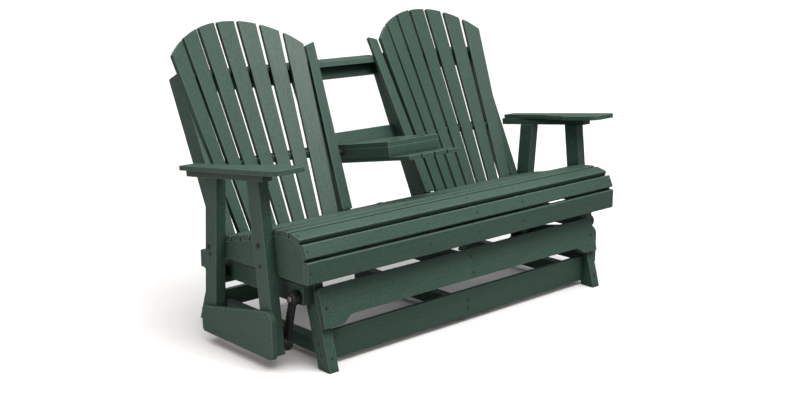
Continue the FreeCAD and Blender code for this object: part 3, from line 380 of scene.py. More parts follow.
def board_material(name, lean=None, vector_group=None):
    """Green plastic board whose grain follows the lean, in degrees, or the X axis."""
    material = bpy.data.materials.new(name)
    material.use_nodes = True
    tree = material.node_tree
    shader = tree.nodes["Principled BSDF"]
    finish = use_group(tree, skin)
    finish.inputs["Tone"].default_value = BOARD_TONE
    finish.inputs["Light Tone"].default_value = BOARD_LIGHT
    join(tree, grain_place(tree, lean, vector_group), finish.inputs["Vector"])
    edge = use_group(tree, edges)
    # Lighter edges: partly wear, partly a painted highlight like the one a rounded edge catches.
    edge_mix = share_of(tree, edge.outputs["Mask"], WEAR_AND_HIGHLIGHT_STRENGTH)
    worn_and_highlighted = mix_colours(tree, edge_mix, finish.outputs["Color"], BOARD_WEAR_AND_HIGHLIGHT)
    # Painted shade: gaps and inside corners are darkened towards near-black in the colour.
    painted_shade_share = share_of(tree, use_group(tree, joint_shade_group).outputs["Mask"], PAINTED_SHADE_STRENGTH)
    join(tree, mix_colours(tree, painted_shade_share, worn_and_highlighted, BOARD_PAINTED_SHADE), shader.inputs["Base Color"])
    join(tree, finish.outputs["Roughness"], shader.inputs["Roughness"])
    bump = add_node(tree, "Bump", {"Strength": EMBOSS_STRENGTH, "Distance": EMBOSS_DEPTH})
    join(tree, finish.outputs["Height"], bump.inputs["Height"])
    join(tree, edge.outputs["Normal"], bump.inputs["Normal"])
    join(tree, bump.outputs["Normal"], shader.inputs["Normal"])
    shader.inputs["Specular IOR Level"].default_value = BOARD_SPECULAR
    return material


# %% [markdown]
# ## Grain on the fan backs
# The slats of a fan spread from a point far below the seat, so one straight direction would
# cross them. Their grain follows rays from that point instead: the angle about it is the
# place across a slat, and the height above it is the place along. The group first stands
# the leaning back upright, then turns each position into that angle and height.

# %% Group: fan directions
BACK_TILT = 25.4
FAN_CENTRE_X = 0.4745
RAYS_MEET = 1.9
ARC_RADIUS = RAYS_MEET + 0.4

fan_rays, fan_in, fan_out = open_group(
    "fan_rays", [("Vector", "Vector", None)], [("Vector", "Vector")])
apart = add_node(fan_rays, "SeparateXYZ")
join(fan_rays, fan_in.outputs["Vector"], apart.inputs[0])
side_of = add_node(fan_rays, "Math", operation="ABSOLUTE")
join(fan_rays, apart.outputs["X"], side_of.inputs[0])
from_centre = add_node(fan_rays, "Math", {1: FAN_CENTRE_X}, operation="SUBTRACT")
join(fan_rays, side_of.outputs[0], from_centre.inputs[0])
upright = add_node(fan_rays, "Mapping", {"Rotation": Euler((math.radians(BACK_TILT), 0, 0))})
join(fan_rays, fan_in.outputs["Vector"], upright.inputs["Vector"])
upright_parts = add_node(fan_rays, "SeparateXYZ")
join(fan_rays, upright.outputs["Vector"], upright_parts.inputs[0])
reach = add_node(fan_rays, "Math", {1: RAYS_MEET}, operation="ADD")
join(fan_rays, upright_parts.outputs["Z"], reach.inputs[0])
angle = add_node(fan_rays, "Math", operation="ARCTAN2")
join(fan_rays, from_centre.outputs[0], angle.inputs[0])
join(fan_rays, reach.outputs[0], angle.inputs[1])
across = add_node(fan_rays, "Math", {1: ARC_RADIUS}, operation="MULTIPLY")
join(fan_rays, angle.outputs[0], across.inputs[0])
together = add_node(fan_rays, "CombineXYZ")
join(fan_rays, reach.outputs[0], together.inputs["X"])
join(fan_rays, across.outputs[0], together.inputs["Y"])
join(fan_rays, upright_parts.outputs["Y"], together.inputs["Z"])
join(fan_rays, together.outputs[0], fan_out.inputs["Vector"])
print("fan rays:", len(fan_rays.nodes), "nodes")

# %% [markdown]
# ## Metal
# The swing arms are steel with a black powder coat, which has a fine orange-peel surface.
# The screws and the smaller bolts are stainless steel, stained brown so that they do not
# shine on the green. The large pivot bolts stay bare. One recipe serves all three: noise in
# the colour, the roughness and the bump, and a brighter tone where the edges are worn.

# %% Recipe for the metal materials
METAL_EDGE = 0.0015
METAL_WORN = 0.6
METAL_BRIGHTER = 2.2
METAL_BUMP = 0.3
METAL_SMOOTHER, METAL_COARSER = 0.06, 0.08
CLOUD_SCALE = 14.0


def metal_material(name, dark, light, metallic, rough, scale, bump_depth):
    """Metal or coat whose colour and shine vary between two values."""
    material = bpy.data.materials.new(name)
    material.use_nodes = True
    tree = material.node_tree
    shader = tree.nodes["Principled BSDF"]
    place = add_node(tree, "TexCoord").outputs["Object"]
    noise = add_node(tree, "TexNoise", {"Scale": scale, "Detail": 3.0})
    join(tree, place, noise.inputs["Vector"])
    cloud = add_node(tree, "TexNoise", {"Scale": CLOUD_SCALE, "Detail": 2.0})
    join(tree, place, cloud.inputs["Vector"])
    edge = use_group(tree, edges)
    edge.inputs["Radius"].default_value = METAL_EDGE
    tone = mix_colours(tree, remap(tree, cloud.outputs["Fac"], *SLOW, 0.0, 1.0), dark, light)
    edge_mix = share_of(tree, edge.outputs["Mask"], METAL_WORN)
    bright = tuple(min(1.0, part * METAL_BRIGHTER) for part in light[:3]) + (1,)
    join(tree, mix_colours(tree, edge_mix, tone, bright), shader.inputs["Base Color"])
    smooth, coarse = rough - METAL_SMOOTHER, rough + METAL_COARSER
    shine = remap(tree, noise.outputs["Fac"], *LIVELY, smooth, coarse)
    join(tree, shine, shader.inputs["Roughness"])
    shader.inputs["Metallic"].default_value = metallic
    bump = add_node(tree, "Bump", {"Strength": METAL_BUMP, "Distance": bump_depth})
    join(tree, noise.outputs["Fac"], bump.inputs["Height"])
    join(tree, edge.outputs["Normal"], bump.inputs["Normal"])
    join(tree, bump.outputs["Normal"], shader.inputs["Normal"])
    return material


# %% Make the metal materials
COAT_DARK, COAT_LIGHT = (0.008, 0.008, 0.009, 1), (0.016, 0.016, 0.017, 1)
BARE_DARK, BARE_LIGHT = (0.34, 0.33, 0.31, 1), (0.50, 0.49, 0.47, 1)
STAIN_DARK, STAIN_LIGHT = (0.030, 0.024, 0.021, 1), (0.055, 0.045, 0.040, 1)
# name, dark and light tone, metallic, roughness, noise waves a metre, depth of the bump
powder_coat = metal_material("powder_coat", COAT_DARK, COAT_LIGHT, 0.0, 0.42, 700, 0.0006)
pivot_steel = metal_material("pivot_steel", BARE_DARK, BARE_LIGHT, 1.0, 0.34, 900, 0.0003)
stained_steel = metal_material("stained_steel", STAIN_DARK, STAIN_LIGHT, 0.6, 0.45, 900, 0.0003)
print("metals:", powder_coat.name, pivot_steel.name, stained_steel.name)

# %% [markdown]
# ## Paper
# The floor is pale studio paper with a slow drift of tone. The camera sees it white, but it
# sends less light back up to the bench than white paper would. This keeps the undersides and
# the inner faces as dark as in the picture. The Light Path node tells the two cases apart.

# %% Make the paper
PAPER_SEEN = (0.86, 0.855, 0.85, 1), (0.88, 0.875, 0.87, 1)
PAPER_BOUNCED = (0.24, 0.235, 0.23, 1)
PAPER_ROUGHNESS = 0.9
PAPER_SPECULAR = 0.1
paper = bpy.data.materials.new("paper")
paper.use_nodes = True
paper_tree = paper.node_tree
paper_shader = paper_tree.nodes["Principled BSDF"]
paper_noise = add_node(paper_tree, "TexNoise", {"Scale": 3.0, "Detail": 3.0})
join(paper_tree, add_node(paper_tree, "TexCoord").outputs["Object"], paper_noise.inputs["Vector"])
paper_share = remap(paper_tree, paper_noise.outputs["Fac"], *LIVELY, 0.0, 1.0)
paper_colour = mix_colours(paper_tree, paper_share, *PAPER_SEEN)
camera_sees = add_node(paper_tree, "LightPath").outputs["Is Camera Ray"]
paper_shade = mix_colours(paper_tree, camera_sees, PAPER_BOUNCED, paper_colour)
join(paper_tree, paper_shade, paper_shader.inputs["Base Color"])
paper_shader.inputs["Roughness"].default_value = PAPER_ROUGHNESS
paper_shader.inputs["Specular IOR Level"].default_value = PAPER_SPECULAR
floor_mesh.materials.append(paper)
print("paper:", len(paper_tree.nodes), "nodes")

# %% [markdown]
# ## Dress the solids
# Each sub-part's grain runs along its boards, as a sawmill would cut it. The first table
# names the lean for each kind of board, and the second the sub-parts of each kind. The
# solids keep their shape and only get a better material.

# %% One material for each kind of board
LEANS = {
    "across": None, "rearwards": 90, "back": BACK_TILT, "front_post": 6.7, "rear_post": -4.3,
    "front_leg": 15.6, "rear_leg": -20.8, "armrest": 96.5,
}
boards = {kind: board_material("board_" + kind, lean) for kind, lean in LEANS.items()}
boards["fan"] = board_material("board_fan", vector_group=fan_rays)
print("kinds of board:", sorted(boards))

# %% Give each sub-part its material
PIECES = {
    "across": ["front_stretcher", "rear_stretcher", "front_apron", "rear_board", "seat_board_front",
               "seat_board_nose_low", "seat_board_nose_top", "seat_boards", "fan_ledge_left",
               "fan_ledge_right", "fan_braces", "fan_backings", "console_backing", "console_ledge",
               "console_rail", "console_front", "console_back"],
    "rearwards": ["top_rail_left", "top_rail_right", "side_rail_left", "side_rail_right",
                  "centre_rail_upper", "centre_rail_lower", "glide_panel_left", "glide_panel_right",
                  "rib_outer_left", "rib_outer_right", "ribs_inner"],
    "armrest": ["armrest_left", "armrest_right", "arm_rail_left", "arm_rail_right", "console_top",
                "console_sides", "console_slats"],
    "front_post": ["post_front_left", "post_front_right"],
    "rear_post": ["post_rear_left", "post_rear_right"],
    "front_leg": ["leg_front_left", "leg_front_right"],
    "rear_leg": ["leg_rear_left", "leg_rear_right"],
    "back": ["upright_outer_left", "upright_outer_right", "upright_inner_left",
             "upright_inner_right"],
    "fan": ["back_slats_left", "back_slats_right"],
}
METALS = {
    "swing_arms_front": powder_coat, "swing_arms_rear": powder_coat,
    "rail_pivot_bolts": pivot_steel, "seat_pivot_bolts": pivot_steel,
    "console_pivot_bolts": stained_steel, "post_bolts": stained_steel,
}


def dress(name, material):
    for holder in nodes[name].material_slots:
        holder.material = material


for kind, names in PIECES.items():
    for name in names:
        dress(name, boards[kind])
for name, material in METALS.items():
    dress(name, material)
dressed = sum(len(names) for names in PIECES.values()) + len(METALS)
print("dressed", dressed, "of", len(nodes), "sub-parts")

# %% [markdown]
# ## New pieces
# Every piece made below starts as a bmesh and ends the same way: it becomes a mesh object
# with one material and rides on the body of the bench that carries it.


# %% Helper for new pieces
def finish_piece(name, shape, material, body):
    """Turn a bmesh into an object that rides on a body of the bench."""
    mesh = bpy.data.meshes.new(name)
    shape.to_mesh(mesh)
    shape.free()
    mesh.materials.append(material)
    piece = bpy.data.objects.new(name, mesh)
    scene.collection.objects.link(piece)
    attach(piece, body)
    print(name, len(mesh.polygons), "faces")
    return piece


# %% [markdown]
# ## Back slats
# A real slat is sawn from one board: it tapers to its foot, all its edges are rounded over
# and its top follows the fan's round crown. The solids have plain bevels and stop short of
# the seat, so the slats are made again here. Each starts as a cube, is scaled to a board and
# widened at the top, then placed on the hollow of the fan. The crown is sawn with a ring of
# flat cuts, which meet so closely that they read as a curve, and a bevel in two steps rounds
# every edge at the end.

# %% Saw one board
SLAT_ROUND = 0.0022
SHARP_ANGLE = 0.6


def round_edges(shape, verts, radius, steps=2):
    """Round every sharp edge of the board that these corners belong to."""
    rims = {edge for corner in verts if corner.is_valid for edge in corner.link_edges}
    sharp = [edge for edge in rims
             if len(edge.link_faces) == 2 and edge.calc_face_angle() > SHARP_ANGLE]
    bmesh.ops.bevel(shape, geom=sharp, offset=radius, offset_type="OFFSET", segments=steps,
                    profile=0.5, affect="EDGES", material=-1, clamp_overlap=True)


def saw(shape, spot, outward):
    """Cut off all that lies beyond a plane and close the cut."""
    everything = list(shape.verts) + list(shape.edges) + list(shape.faces)
    bmesh.ops.bisect_plane(shape, geom=everything, plane_co=spot, plane_no=outward,
                           clear_outer=True)
    bmesh.ops.holes_fill(shape, edges=[edge for edge in shape.edges if edge.is_boundary])


def tapered_board(low_half, top_half, thick, length):
    """Upright board on the origin, its front face at Y 0."""
    shape = bmesh.new()
    bmesh.ops.create_cube(shape, size=1)
    bmesh.ops.translate(shape, verts=shape.verts, vec=(0, 0.5, 0.5))
    bmesh.ops.scale(shape, verts=shape.verts, vec=(low_half * 2, thick, length))
    upper = [corner for corner in shape.verts if corner.co.z > length / 2]
    bmesh.ops.scale(shape, verts=upper, vec=(top_half / low_half, 1, 1))
    return shape


# %% [markdown]
# ## Places on the leaning back
# Everything on the back is measured on its own plane: X across, and up along the lean from
# the foot of the fans. The slats stand on a hollow, so a place across is an arc length about
# the fan's centre line, and the pitch from slat to slat grows from the foot to the top.

# %% Measure along the back
FAN_RADIUS = 0.9
FAN_HEIGHT = 0.756
FOOT_PITCH = 0.0627
TOP_PITCH = 0.0875
FAN_FOOT = (0.0875, 0.378)
LEAN_BACK = Matrix.Rotation(-math.radians(BACK_TILT), 4, "X")


def pitch_at(up):
    """Arc length from one slat to the next at a height."""
    return FOOT_PITCH + (TOP_PITCH - FOOT_PITCH) * up / FAN_HEIGHT


def on_hollow(offset, up):
    """Point of the fan's hollow front at an arc length from its centre line."""
    turn = offset / FAN_RADIUS
    return Vector((FAN_RADIUS * math.sin(turn), FAN_RADIUS * (math.cos(turn) - 1), up))


def back_plane(x):
    """Matrix from the back's own measures to the bench, about a centre line at X."""
    return Matrix.Translation((x, *FAN_FOOT)) @ LEAN_BACK


def stand_on_back(low, top, turn, x):
    """Matrix that stands an upright board on the leaning back, from low to top."""
    rise = (top - low).normalized()
    across = Vector((math.cos(turn), -math.sin(turn), 0))
    rearward = rise.cross(across).normalized()
    facing = Matrix((rearward.cross(rise), rearward, rise)).transposed().to_4x4()
    return back_plane(x) @ Matrix.Translation(low) @ facing


# %% [markdown]
# ## One slat of a fan
# The slat beside the console is wider at its foot than its neighbours, so its edge towards
# the console is moved before the slat is stood up. The crown's saw cuts follow one circle
# for the whole fan, so all seven tops meet in a single curve.

# %% Saw a slat
FAN_CROWN = 0.380
SLAT_GAP = 0.0155
SLAT_THICK = 0.0167
SLAT_LOW = -0.034
SLAT_HIGH = 0.776
EDGE_EXTRA_TOP = -0.001
EDGE_EXTRA_FOOT = 0.0145
NEAR_FOOT = 0.1
LAST_PLACE = 3
CROWN_CUTS = 36
CROWN_SWEEP = math.radians(62)


def fan_slat(place, x):
    """Finished slat; its place counts from the fan's centre line."""
    low = on_hollow(pitch_at(SLAT_LOW) * place, SLAT_LOW)
    top = on_hollow(pitch_at(SLAT_HIGH) * place, SLAT_HIGH)
    half_foot = (pitch_at(SLAT_LOW) - SLAT_GAP) / 2
    half_top = (pitch_at(SLAT_HIGH) - SLAT_GAP) / 2
    shape = tapered_board(half_foot, half_top, SLAT_THICK, (top - low).length)
    inward = -1 if x > 0 else 1
    if place == LAST_PLACE * inward:
        edge = [corner for corner in shape.verts if corner.co.x * inward > 0]
        for corner in edge:
            extra = EDGE_EXTRA_FOOT if corner.co.z < NEAR_FOOT else EDGE_EXTRA_TOP
            corner.co.x += extra * inward
    turn = pitch_at(FAN_HEIGHT / 2) * place / FAN_RADIUS
    bmesh.ops.transform(shape, matrix=stand_on_back(low, top, turn, x), verts=shape.verts)
    stand = back_plane(x)
    for count in range(CROWN_CUTS + 1):
        angle = CROWN_SWEEP * (2 * count / CROWN_CUTS - 1)
        outward = Vector((math.sin(angle), 0, math.cos(angle)))
        spot = Vector((0, 0, FAN_HEIGHT - FAN_CROWN)) + outward * FAN_CROWN
        saw(shape, stand @ spot, stand.to_3x3() @ outward)
    round_edges(shape, list(shape.verts), SLAT_ROUND)
    return shape


# %% [markdown]
# ## The strip beside the console
# A narrow strip closes each fan towards the console. It stands a little in front of the
# slats, spreads outwards to its foot, has a sloping top and a foot that is cut level.

# %% Saw a strip
# Half its width at the top and at the foot
STRIP_HALVES = (0.0205, 0.0230)
STRIP_TOP = 0.628
STRIP_RISE = 0.012
# How far its middle stands from the bench's centre line, at the top and at the foot
STRIP_SPREADS = (0.156, 0.2105)
STRIP_FRONT = -0.036
STRIP_STOCK = 0.016
STRIP_FOOT_Z = 0.3795
STRIP_RUN_OUT = 0.05


def console_strip(side):
    """Narrow strip beside the console; its top slopes and its foot is cut level."""
    narrow, wide = STRIP_SPREADS
    top_half, foot_half = STRIP_HALVES
    run = Vector(((wide - narrow) * side, 0, -STRIP_TOP))
    low = Vector((wide * side, STRIP_FRONT, 0)) + run * STRIP_RUN_OUT
    top = Vector((narrow * side, STRIP_FRONT, STRIP_TOP + STRIP_RISE))
    shape = tapered_board(foot_half, top_half, STRIP_STOCK, (top - low).length)
    bmesh.ops.transform(shape, matrix=stand_on_back(low, top, 0, 0), verts=shape.verts)
    stand = back_plane(0)
    slope = Vector((STRIP_RISE / (top_half * 2) * side, 0, 1)).normalized()
    cut_at = Vector((narrow * side, STRIP_FRONT, STRIP_TOP + STRIP_RISE / 2))
    saw(shape, stand @ cut_at, stand.to_3x3() @ slope)
    saw(shape, Vector((0, 0, STRIP_FOOT_Z)), Vector((0, 0, -1)))
    round_edges(shape, list(shape.verts), SLAT_ROUND)
    return shape


# %% [markdown]
# ## Two whole fans
# Each fan is one object, so that its boards share a material and ride together. Every slat
# and strip is finished as a bmesh of its own first, because a saw cut or a bevel would
# otherwise reach its neighbours, and is then copied into the fan.


# %% Put both fans together
def add_shape(target, part):
    """Copy one bmesh into another and free it."""
    carrier = bpy.data.meshes.new("carrier")
    part.to_mesh(carrier)
    part.free()
    target.from_mesh(carrier)
    bpy.data.meshes.remove(carrier)


for name, side in (("left", -1), ("right", 1)):
    fan_shape = bmesh.new()
    for place in range(-LAST_PLACE, LAST_PLACE + 1):
        add_shape(fan_shape, fan_slat(place * side, FAN_CENTRE_X * side))
    add_shape(fan_shape, console_strip(side))
    slats = finish_piece("fan_slats_" + name, fan_shape, boards["fan"], "seat")
    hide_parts("back_slats_" + name)

# %% [markdown]
# ## Seat boards
# The long boards lie with open joints, wide enough for rain to run through. In the solids
# the joints are narrower than they look in the picture. The boards' own mesh is copied and
# merged, and each board in it is planed narrower: scaled about its middle along its width,
# the shorter of the two directions in its top. The console's slats get the same.

# %% Helpers for a sub-part's own boards
MERGE_DISTANCE = 0.00001
LOOKS_UP = 0.9


def islands(shape):
    """The separate boards of a bmesh, each a list of its corners."""
    waiting, found = set(shape.verts), []
    while waiting:
        open_list, board = [waiting.pop()], []
        while open_list:
            corner = open_list.pop()
            board.append(corner)
            near = {edge.other_vert(corner) for edge in corner.link_edges} & waiting
            waiting -= near
            open_list += near
        found.append(board)
    return found


def merged_copy(name):
    """The sub-part's mesh with its doubled corners merged."""
    shape = bmesh.new()
    shape.from_mesh(nodes[name].data)
    bmesh.ops.remove_doubles(shape, verts=shape.verts, dist=MERGE_DISTANCE)
    return shape


def plane_boards(name, gain, kind, body):
    """Replace a sub-part by its own boards, each narrower by the gain."""
    shape = merged_copy(name)
    boards_found = islands(shape)
    for board in boards_found:
        faces = {face for corner in board for face in corner.link_faces
                 if face.normal.z > LOOKS_UP}
        top = max(faces, key=lambda face: face.calc_area())
        spans = []
        for across in (Vector((1, 0, 0)), top.normal.cross(Vector((1, 0, 0)))):
            reach = [corner.co.dot(across) for corner in board]
            spans.append((max(reach) - min(reach), across))
        width, across = min(spans, key=lambda span: span[0])
        middle = sum((corner.co for corner in board), Vector()) / len(board)
        axes = Matrix((across, top.normal.cross(across), top.normal)).to_4x4()
        axes = axes @ Matrix.Translation(-middle)
        bmesh.ops.scale(shape, verts=board, vec=(1 - gain / width, 1, 1), space=axes)
    piece = finish_piece(name + "_planed", shape, boards[kind], body)
    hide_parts(name)
    print(len(boards_found), "boards in", name)
    return piece


# %% Plane the seat's and the console's boards
JOINT_GAIN = 0.003
CONSOLE_GAIN = 0.004
plane_boards("seat_boards", JOINT_GAIN, "across", "seat")
console_boards = plane_boards("console_slats", CONSOLE_GAIN, "armrest", "console")

# %% [markdown]
# ## The console's tail
# In the picture a strip of the back hides the console's rear ends, so its boards reach a
# little further behind the pivot here than they do in the solids. Only the corners behind
# the pivot are moved, so the cup holes and the front keep their places.

# %% Lengthen the console's boards
CONSOLE_TILT = math.radians(10)
CONSOLE_PIVOT = Vector((0, 0.1795, 0.564))
CONSOLE_REARWARD = Vector((0, math.cos(CONSOLE_TILT), -math.sin(CONSOLE_TILT)))
TAIL_LINE = 0.0047
TAIL_EXTRA = 0.018


def lengthen_tail(shape):
    """Move the rear ends of the console's boards away from its pivot."""
    tail = [corner for corner in shape.verts
            if (corner.co - CONSOLE_PIVOT).dot(CONSOLE_REARWARD) > TAIL_LINE]
    bmesh.ops.translate(shape, verts=tail, vec=CONSOLE_REARWARD * TAIL_EXTRA)


longer = bmesh.new()
longer.from_mesh(console_boards.data)
lengthen_tail(longer)
longer.to_mesh(console_boards.data)
longer.free()
for name in ("console_sides", "console_top"):
    longer = merged_copy(name)
    lengthen_tail(longer)
    piece = finish_piece(name + "_longer", longer, boards["armrest"], "console")
    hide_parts(name)

# %% [markdown]
# ## Top rails
# The front end of each top rail stops just short of the apron, and the swing arm's housing
# shows beside it. The rail's copied mesh gets shorter when the corners of its end are moved.

# %% Trim the rails
RAIL_END_Y = -0.35
RAIL_TRIM = 0.016
for side_name in ("left", "right"):
    rail = merged_copy("top_rail_" + side_name)
    front_end = [corner for corner in rail.verts if corner.co.y < RAIL_END_Y]
    bmesh.ops.translate(rail, verts=front_end, vec=(0, RAIL_TRIM, 0))
    trimmed = finish_piece("top_rail_trimmed_" + side_name, rail, boards["rearwards"], "base")
    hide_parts("top_rail_" + side_name)

# %% [markdown]
# ## One screw, many places
# A seat screw is a pan head with a small recessed drive. It is made once: a disc is raised,
# narrowed at the top, and its top is inset and pushed down. Copies are then laid on the
# boards. A stamp is a small mesh whose foot is at the origin and whose head points up Z,
# so placing it only takes a turn from Z to the board's normal.


# %% Helpers for stamps
# How far each inset of the head goes in, and how far it rises: rim, socket, socket's floor
HEAD_STEPS = ((0.22, 0.45), (0.32, 0.0), (0.04, -0.6))
HEAD_WALL = 0.55


def screw_stamp(radius, height, sides=12):
    """Pan head with a recessed drive, standing on the origin."""
    shape = bmesh.new()
    bmesh.ops.create_circle(shape, cap_ends=True, segments=sides, radius=radius)
    pulled = bmesh.ops.extrude_face_region(shape, geom=list(shape.faces))["geom"]
    top = [piece for piece in pulled if isinstance(piece, bmesh.types.BMFace)]
    bmesh.ops.translate(shape, verts=list(top[0].verts), vec=(0, 0, height * HEAD_WALL))
    bmesh.ops.recalc_face_normals(shape, faces=list(shape.faces))
    for narrow, rise in HEAD_STEPS:
        bmesh.ops.inset_region(shape, faces=top, thickness=radius * narrow, depth=height * rise)
    stamp = bpy.data.meshes.new("screw_stamp")
    shape.to_mesh(stamp)
    shape.free()
    return stamp


def lay_stamps(name, stamp, spots, material, body):
    """One object with a copy of the stamp at each place, turned to its outward direction."""
    shape = bmesh.new()
    for place, outward in spots:
        known = len(shape.verts)
        shape.from_mesh(stamp)
        shape.verts.ensure_lookup_table()
        fresh = shape.verts[known:]
        aim = Vector(outward).to_track_quat("Z", "Y").to_matrix().to_4x4()
        bmesh.ops.transform(shape, matrix=Matrix.Translation(place) @ aim, verts=fresh)
    return finish_piece(name, shape, material, body)


def both_sides(spots):
    """The given spots and their mirror images on the other side of the bench."""
    mirrored = [((-place[0], place[1], place[2]), (-out[0], out[1], out[2]))
                for place, out in spots]
    return list(spots) + mirrored


# %% [markdown]
# ## Seat screws
# Every seat board is screwed to all five ribs. The boards lie at different slopes, so the
# places come from the model: each board's top is its large face that looks up or forwards.
# A face's middle and normal give where a screw sits and where it points.

# %% Screw the seat boards down
RIB_LINES = (-0.7495, -0.2375, 0.0, 0.2375, 0.7495)
BOARD_AREA = 0.03
FACES_UP = 0.5


def board_tops(name):
    """Middle and normal of each board's large upward or forward face."""
    groups = {}
    for face in nodes[name].data.polygons:
        normal = face.normal
        if face.area < BOARD_AREA or normal.z - normal.y < FACES_UP:
            continue
        key = (round(normal.y, 2), round(normal.dot(face.center), 3))
        groups.setdefault(key, []).append(face)
    tops = []
    for faces in groups.values():
        corners = [nodes[name].data.vertices[index].co for face in faces for index in face.vertices]
        middles = []
        for along in ("y", "z"):
            reach = [getattr(corner, along) for corner in corners]
            middles.append((min(reach) + max(reach)) / 2)
        tops.append((*middles, faces[0].normal.copy()))
    return tops


seat_screw = screw_stamp(0.0036, 0.0012)
seat_spots = []
SEAT_NODES = ("seat_board_front", "seat_board_nose_low", "seat_board_nose_top", "seat_boards")
for name in SEAT_NODES:
    for y, z, normal in board_tops(name):
        seat_spots += [((x, y, z), normal) for x in RIB_LINES]
lay_stamps("seat_screws", seat_screw, seat_spots, stained_steel, "seat")
print(len(seat_spots), "seat screws")

# %% [markdown]
# ## Frame screws and bolts
# Larger screws hold the apron, the stretchers, the rear board and the legs. On a face that
# looks forwards or to the rear only the place across and the height are given. The depth
# comes from the face itself, so that a head never floats or sinks. The legs' outer faces
# stand upright at one X, and there the place and the height are enough as well.

# %% Places on a board's face
FACES_THERE = 0.7
FRONT = (0, -1, 0)
REAR = (0, 1, 0)
LEFT = (-1, 0, 0)


def on_face(name, wanted, x, z):
    """Spot at an X and height on the node's largest face that looks in that direction."""
    faces = [face for face in nodes[name].data.polygons
             if face.normal.dot(Vector(wanted)) > FACES_THERE]
    best = max(faces, key=lambda face: face.area)
    normal, centre = best.normal.copy(), best.center.copy()
    y = centre.y - (normal.z * (z - centre.z)) / normal.y
    return (x, y, z), normal


# %% Screw the base together
base_screw = screw_stamp(0.0052, 0.0022)
LEG_MIDDLE = 0.668
LEG_FACE = 0.687
# Board, side it faces, then X and height, or the heights on the centre line
END_SCREWS = [
    ("front_apron", FRONT, LEG_MIDDLE, 0.208), ("leg_front_left", FRONT, LEG_MIDDLE, 0.045),
    ("rear_board", REAR, 0.706, 0.252), ("leg_rear_left", REAR, LEG_MIDDLE, 0.045),
]
MIDDLE_SCREWS = [
    ("front_apron", FRONT, (0.247, 0.192)), ("front_stretcher", FRONT, (0.0835, 0.050)),
    ("rear_stretcher", REAR, (0.063, 0.095)), ("rear_board", REAR, (0.252,)),
]
# Y and height of the screws in the legs' outer faces
LEG_SCREWS = [(-0.371, 0.0857), (-0.385, 0.0521), (0.279, 0.095), (0.287, 0.064)]
base_spots = []
for side in (-1, 1):
    base_spots += [on_face(name, facing, x * side, z) for name, facing, x, z in END_SCREWS]
for name, facing, heights in MIDDLE_SCREWS:
    base_spots += [on_face(name, facing, 0.0, z) for z in heights]
base_spots += both_sides([((-LEG_FACE, y, z), LEFT) for y, z in LEG_SCREWS])
lay_stamps("base_screws", base_screw, base_spots, stained_steel, "base")
print(len(base_spots), "base screws")

# %% [markdown]
# ## The posts' lower bolts
# Each post has a second bolt below the one in the model. Its head is made in the same way as
# a screw's, only larger and with more sides, and is laid on the post's outer face.

# %% Bolt the posts to the ribs
post_bolt = screw_stamp(0.0062, 0.0032, sides=16)
POST_FACE = 0.800
POST_BOLTS = [(-0.2215, 0.339), (0.0695, 0.319)]
post_spots = both_sides([((-POST_FACE, y, z), LEFT) for y, z in POST_BOLTS])
lay_stamps("post_lower_bolts", post_bolt, post_spots, stained_steel, "seat")

# %% [markdown]
# ## A second board at the rear
# Seen through the joints of the seat, the frame behind is dark and not the floor: a lower
# board joins the rear legs under the top one. Its ends butt against the legs.

# %% Add the lower rear board
LOW_BOARD = ((-0.6485, 0.2265, 0.146), (0.6485, 0.2455, 0.218))
LOW_BOARD_ROUND = 0.0025


def plain_board(low, high, radius):
    """Board that fills the box between two corners, with rounded edges."""
    shape = bmesh.new()
    bmesh.ops.create_cube(shape, size=1)
    low, high = Vector(low), Vector(high)
    bmesh.ops.scale(shape, verts=shape.verts, vec=high - low)
    bmesh.ops.translate(shape, verts=shape.verts, vec=(low + high) / 2)
    round_edges(shape, list(shape.verts), radius)
    return shape


low_board = plain_board(*LOW_BOARD, LOW_BOARD_ROUND)
finish_piece("rear_board_lower", low_board, boards["across"], "base")

# %% [markdown]
# ## Screws behind the back
# The slats show no screws in front: they are fixed from behind. The boards that join the
# uprights have two screws in each end. The same stamp serves, laid on the rear faces.

# %% Screw the back from behind
BACK_LINES = {
    "fan_backings": (-0.680, -0.244, 0.244, 0.680), "console_backing": (-0.168, 0.168),
    "console_rail": (-0.168, 0.168),
}
PAIR_OFFSETS = (-0.013, 0.013)
back_spots = []
for name, lines in BACK_LINES.items():
    low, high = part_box(name)
    middle = (low.z + high.z) / 2
    for x in lines:
        back_spots += [on_face(name, REAR, x, middle + offset) for offset in PAIR_OFFSETS]
lay_stamps("back_screws", seat_screw, back_spots, stained_steel, "seat")

# %% [markdown]
# ## Swing arms
# Each arm is a flat strap with a round bearing housing at both ends. Two ribs run down the
# strap on each face and stiffen it, a collar thickens each housing, and a raised ring
# closes it around its bolt. A rib is a long block with rounded edges, laid between the two
# housings. A collar and a ring are small profiles that are spun once around the bolt, which
# is the quickest way to anything round.

# %% Sizes of the arms
STRAP_MIDDLE = 0.7435
STRAP_HALF = 0.004
RIB_WIDTH = 0.0045
RIB_HEIGHT = 0.0016
RIB_ROUND = RIB_HEIGHT * 0.7
RIB_SPACING = 0.0095
RIB_START = 0.01932
HOUSING_SIDE = 0.009
RING_INNER, RING_OUTER, RING_HEIGHT = 0.0125, 0.0195, 0.0012
RING_INNER_RIM, RING_OUTER_RIM, RING_CROWN = 0.0008, 0.0012, 1.5
COLLAR_BORE = 0.0200
COLLAR_RADIUS = 0.0245
COLLAR_LENGTH = 0.0145
COLLAR_RIM = 0.0015
SPIN_STEPS = 32
PIVOTS = {
    "front": (Vector((0, -0.3155, 0.240)), Vector((0, -0.2725, 0.078))),
    "rear": (Vector((0, 0.0953, 0.240)), Vector((0, 0.0825, 0.073))),
}
print("arm length %.0f mm" % ((PIVOTS["front"][0] - PIVOTS["front"][1]).length * 1000))


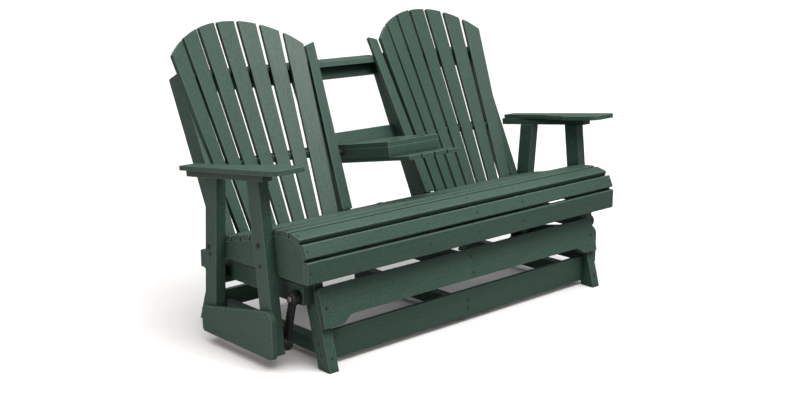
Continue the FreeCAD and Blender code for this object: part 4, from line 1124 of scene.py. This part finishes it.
# %% Shape a rib
def add_rib(shape, top, low, x, offset):
    """Rounded rib on a strap's face, between the two housings."""
    along = (low - top).normalized()
    across = along.cross(Vector((1, 0, 0)))
    start = top + along * RIB_START
    end = low - along * RIB_START
    made = bmesh.ops.create_cube(shape, size=1)["verts"]
    bmesh.ops.scale(shape, verts=made, vec=(RIB_HEIGHT * 2, RIB_WIDTH, (end - start).length))
    turn = Matrix((Vector((1, 0, 0)), across, along)).transposed().to_4x4()
    middle = (start + end) / 2 + across * offset + Vector((x, 0, 0))
    bmesh.ops.transform(shape, matrix=Matrix.Translation(middle) @ turn, verts=made)
    rims = list({edge for corner in made for edge in corner.link_edges})
    bmesh.ops.bevel(shape, geom=rims, offset=RIB_ROUND, offset_type="OFFSET", segments=2,
                    profile=0.5, affect="EDGES", material=-1)


# %% Shape a ring or a collar
def spin_profile(shape, centre, x, out, profile, closed):
    """Spin a profile of (radius, rise) pairs once around a pivot; it rises along out."""
    points = [shape.verts.new((x + out * rise, centre.y + radius, centre.z))
              for radius, rise in profile]
    following = points[1:] + points[:1] if closed else points[1:]
    lines = [shape.edges.new(pair) for pair in zip(points, following)]
    bmesh.ops.spin(shape, geom=points + lines, cent=centre, axis=(1, 0, 0), angle=math.tau,
                   steps=SPIN_STEPS, use_merge=True)


RING_PROFILE = [
    (RING_INNER, 0), (RING_INNER + RING_INNER_RIM, RING_HEIGHT),
    ((RING_INNER + RING_OUTER) / 2, RING_HEIGHT * RING_CROWN),
    (RING_OUTER - RING_OUTER_RIM, RING_HEIGHT), (RING_OUTER, 0),
]
COLLAR_PROFILE = [
    (COLLAR_BORE, 0), (COLLAR_RADIUS - COLLAR_RIM, 0), (COLLAR_RADIUS, COLLAR_RIM),
    (COLLAR_RADIUS, COLLAR_LENGTH - COLLAR_RIM), (COLLAR_RADIUS - COLLAR_RIM, COLLAR_LENGTH),
    (COLLAR_BORE, COLLAR_LENGTH),
]

# %% Put the arms' pieces together
for end, (top, low) in PIVOTS.items():
    arm_shape = bmesh.new()
    for side in (-1, 1):
        for face in (-1, 1):
            for offset in (-RIB_SPACING, RIB_SPACING):
                add_rib(arm_shape, top, low, STRAP_MIDDLE * side + STRAP_HALF * face, offset)
        outer = (STRAP_MIDDLE + HOUSING_SIDE) * side
        inner = (STRAP_MIDDLE - HOUSING_SIDE) * side
        spin_profile(arm_shape, top, outer, side, RING_PROFILE, False)
        spin_profile(arm_shape, low, inner, -side, RING_PROFILE, False)
        spin_profile(arm_shape, top, outer, -side, COLLAR_PROFILE, True)
        spin_profile(arm_shape, low, inner, side, COLLAR_PROFILE, True)
    bmesh.ops.recalc_face_normals(arm_shape, faces=list(arm_shape.faces))
    finish_piece("arm_ribs_" + end, arm_shape, powder_coat, end + "_arms")
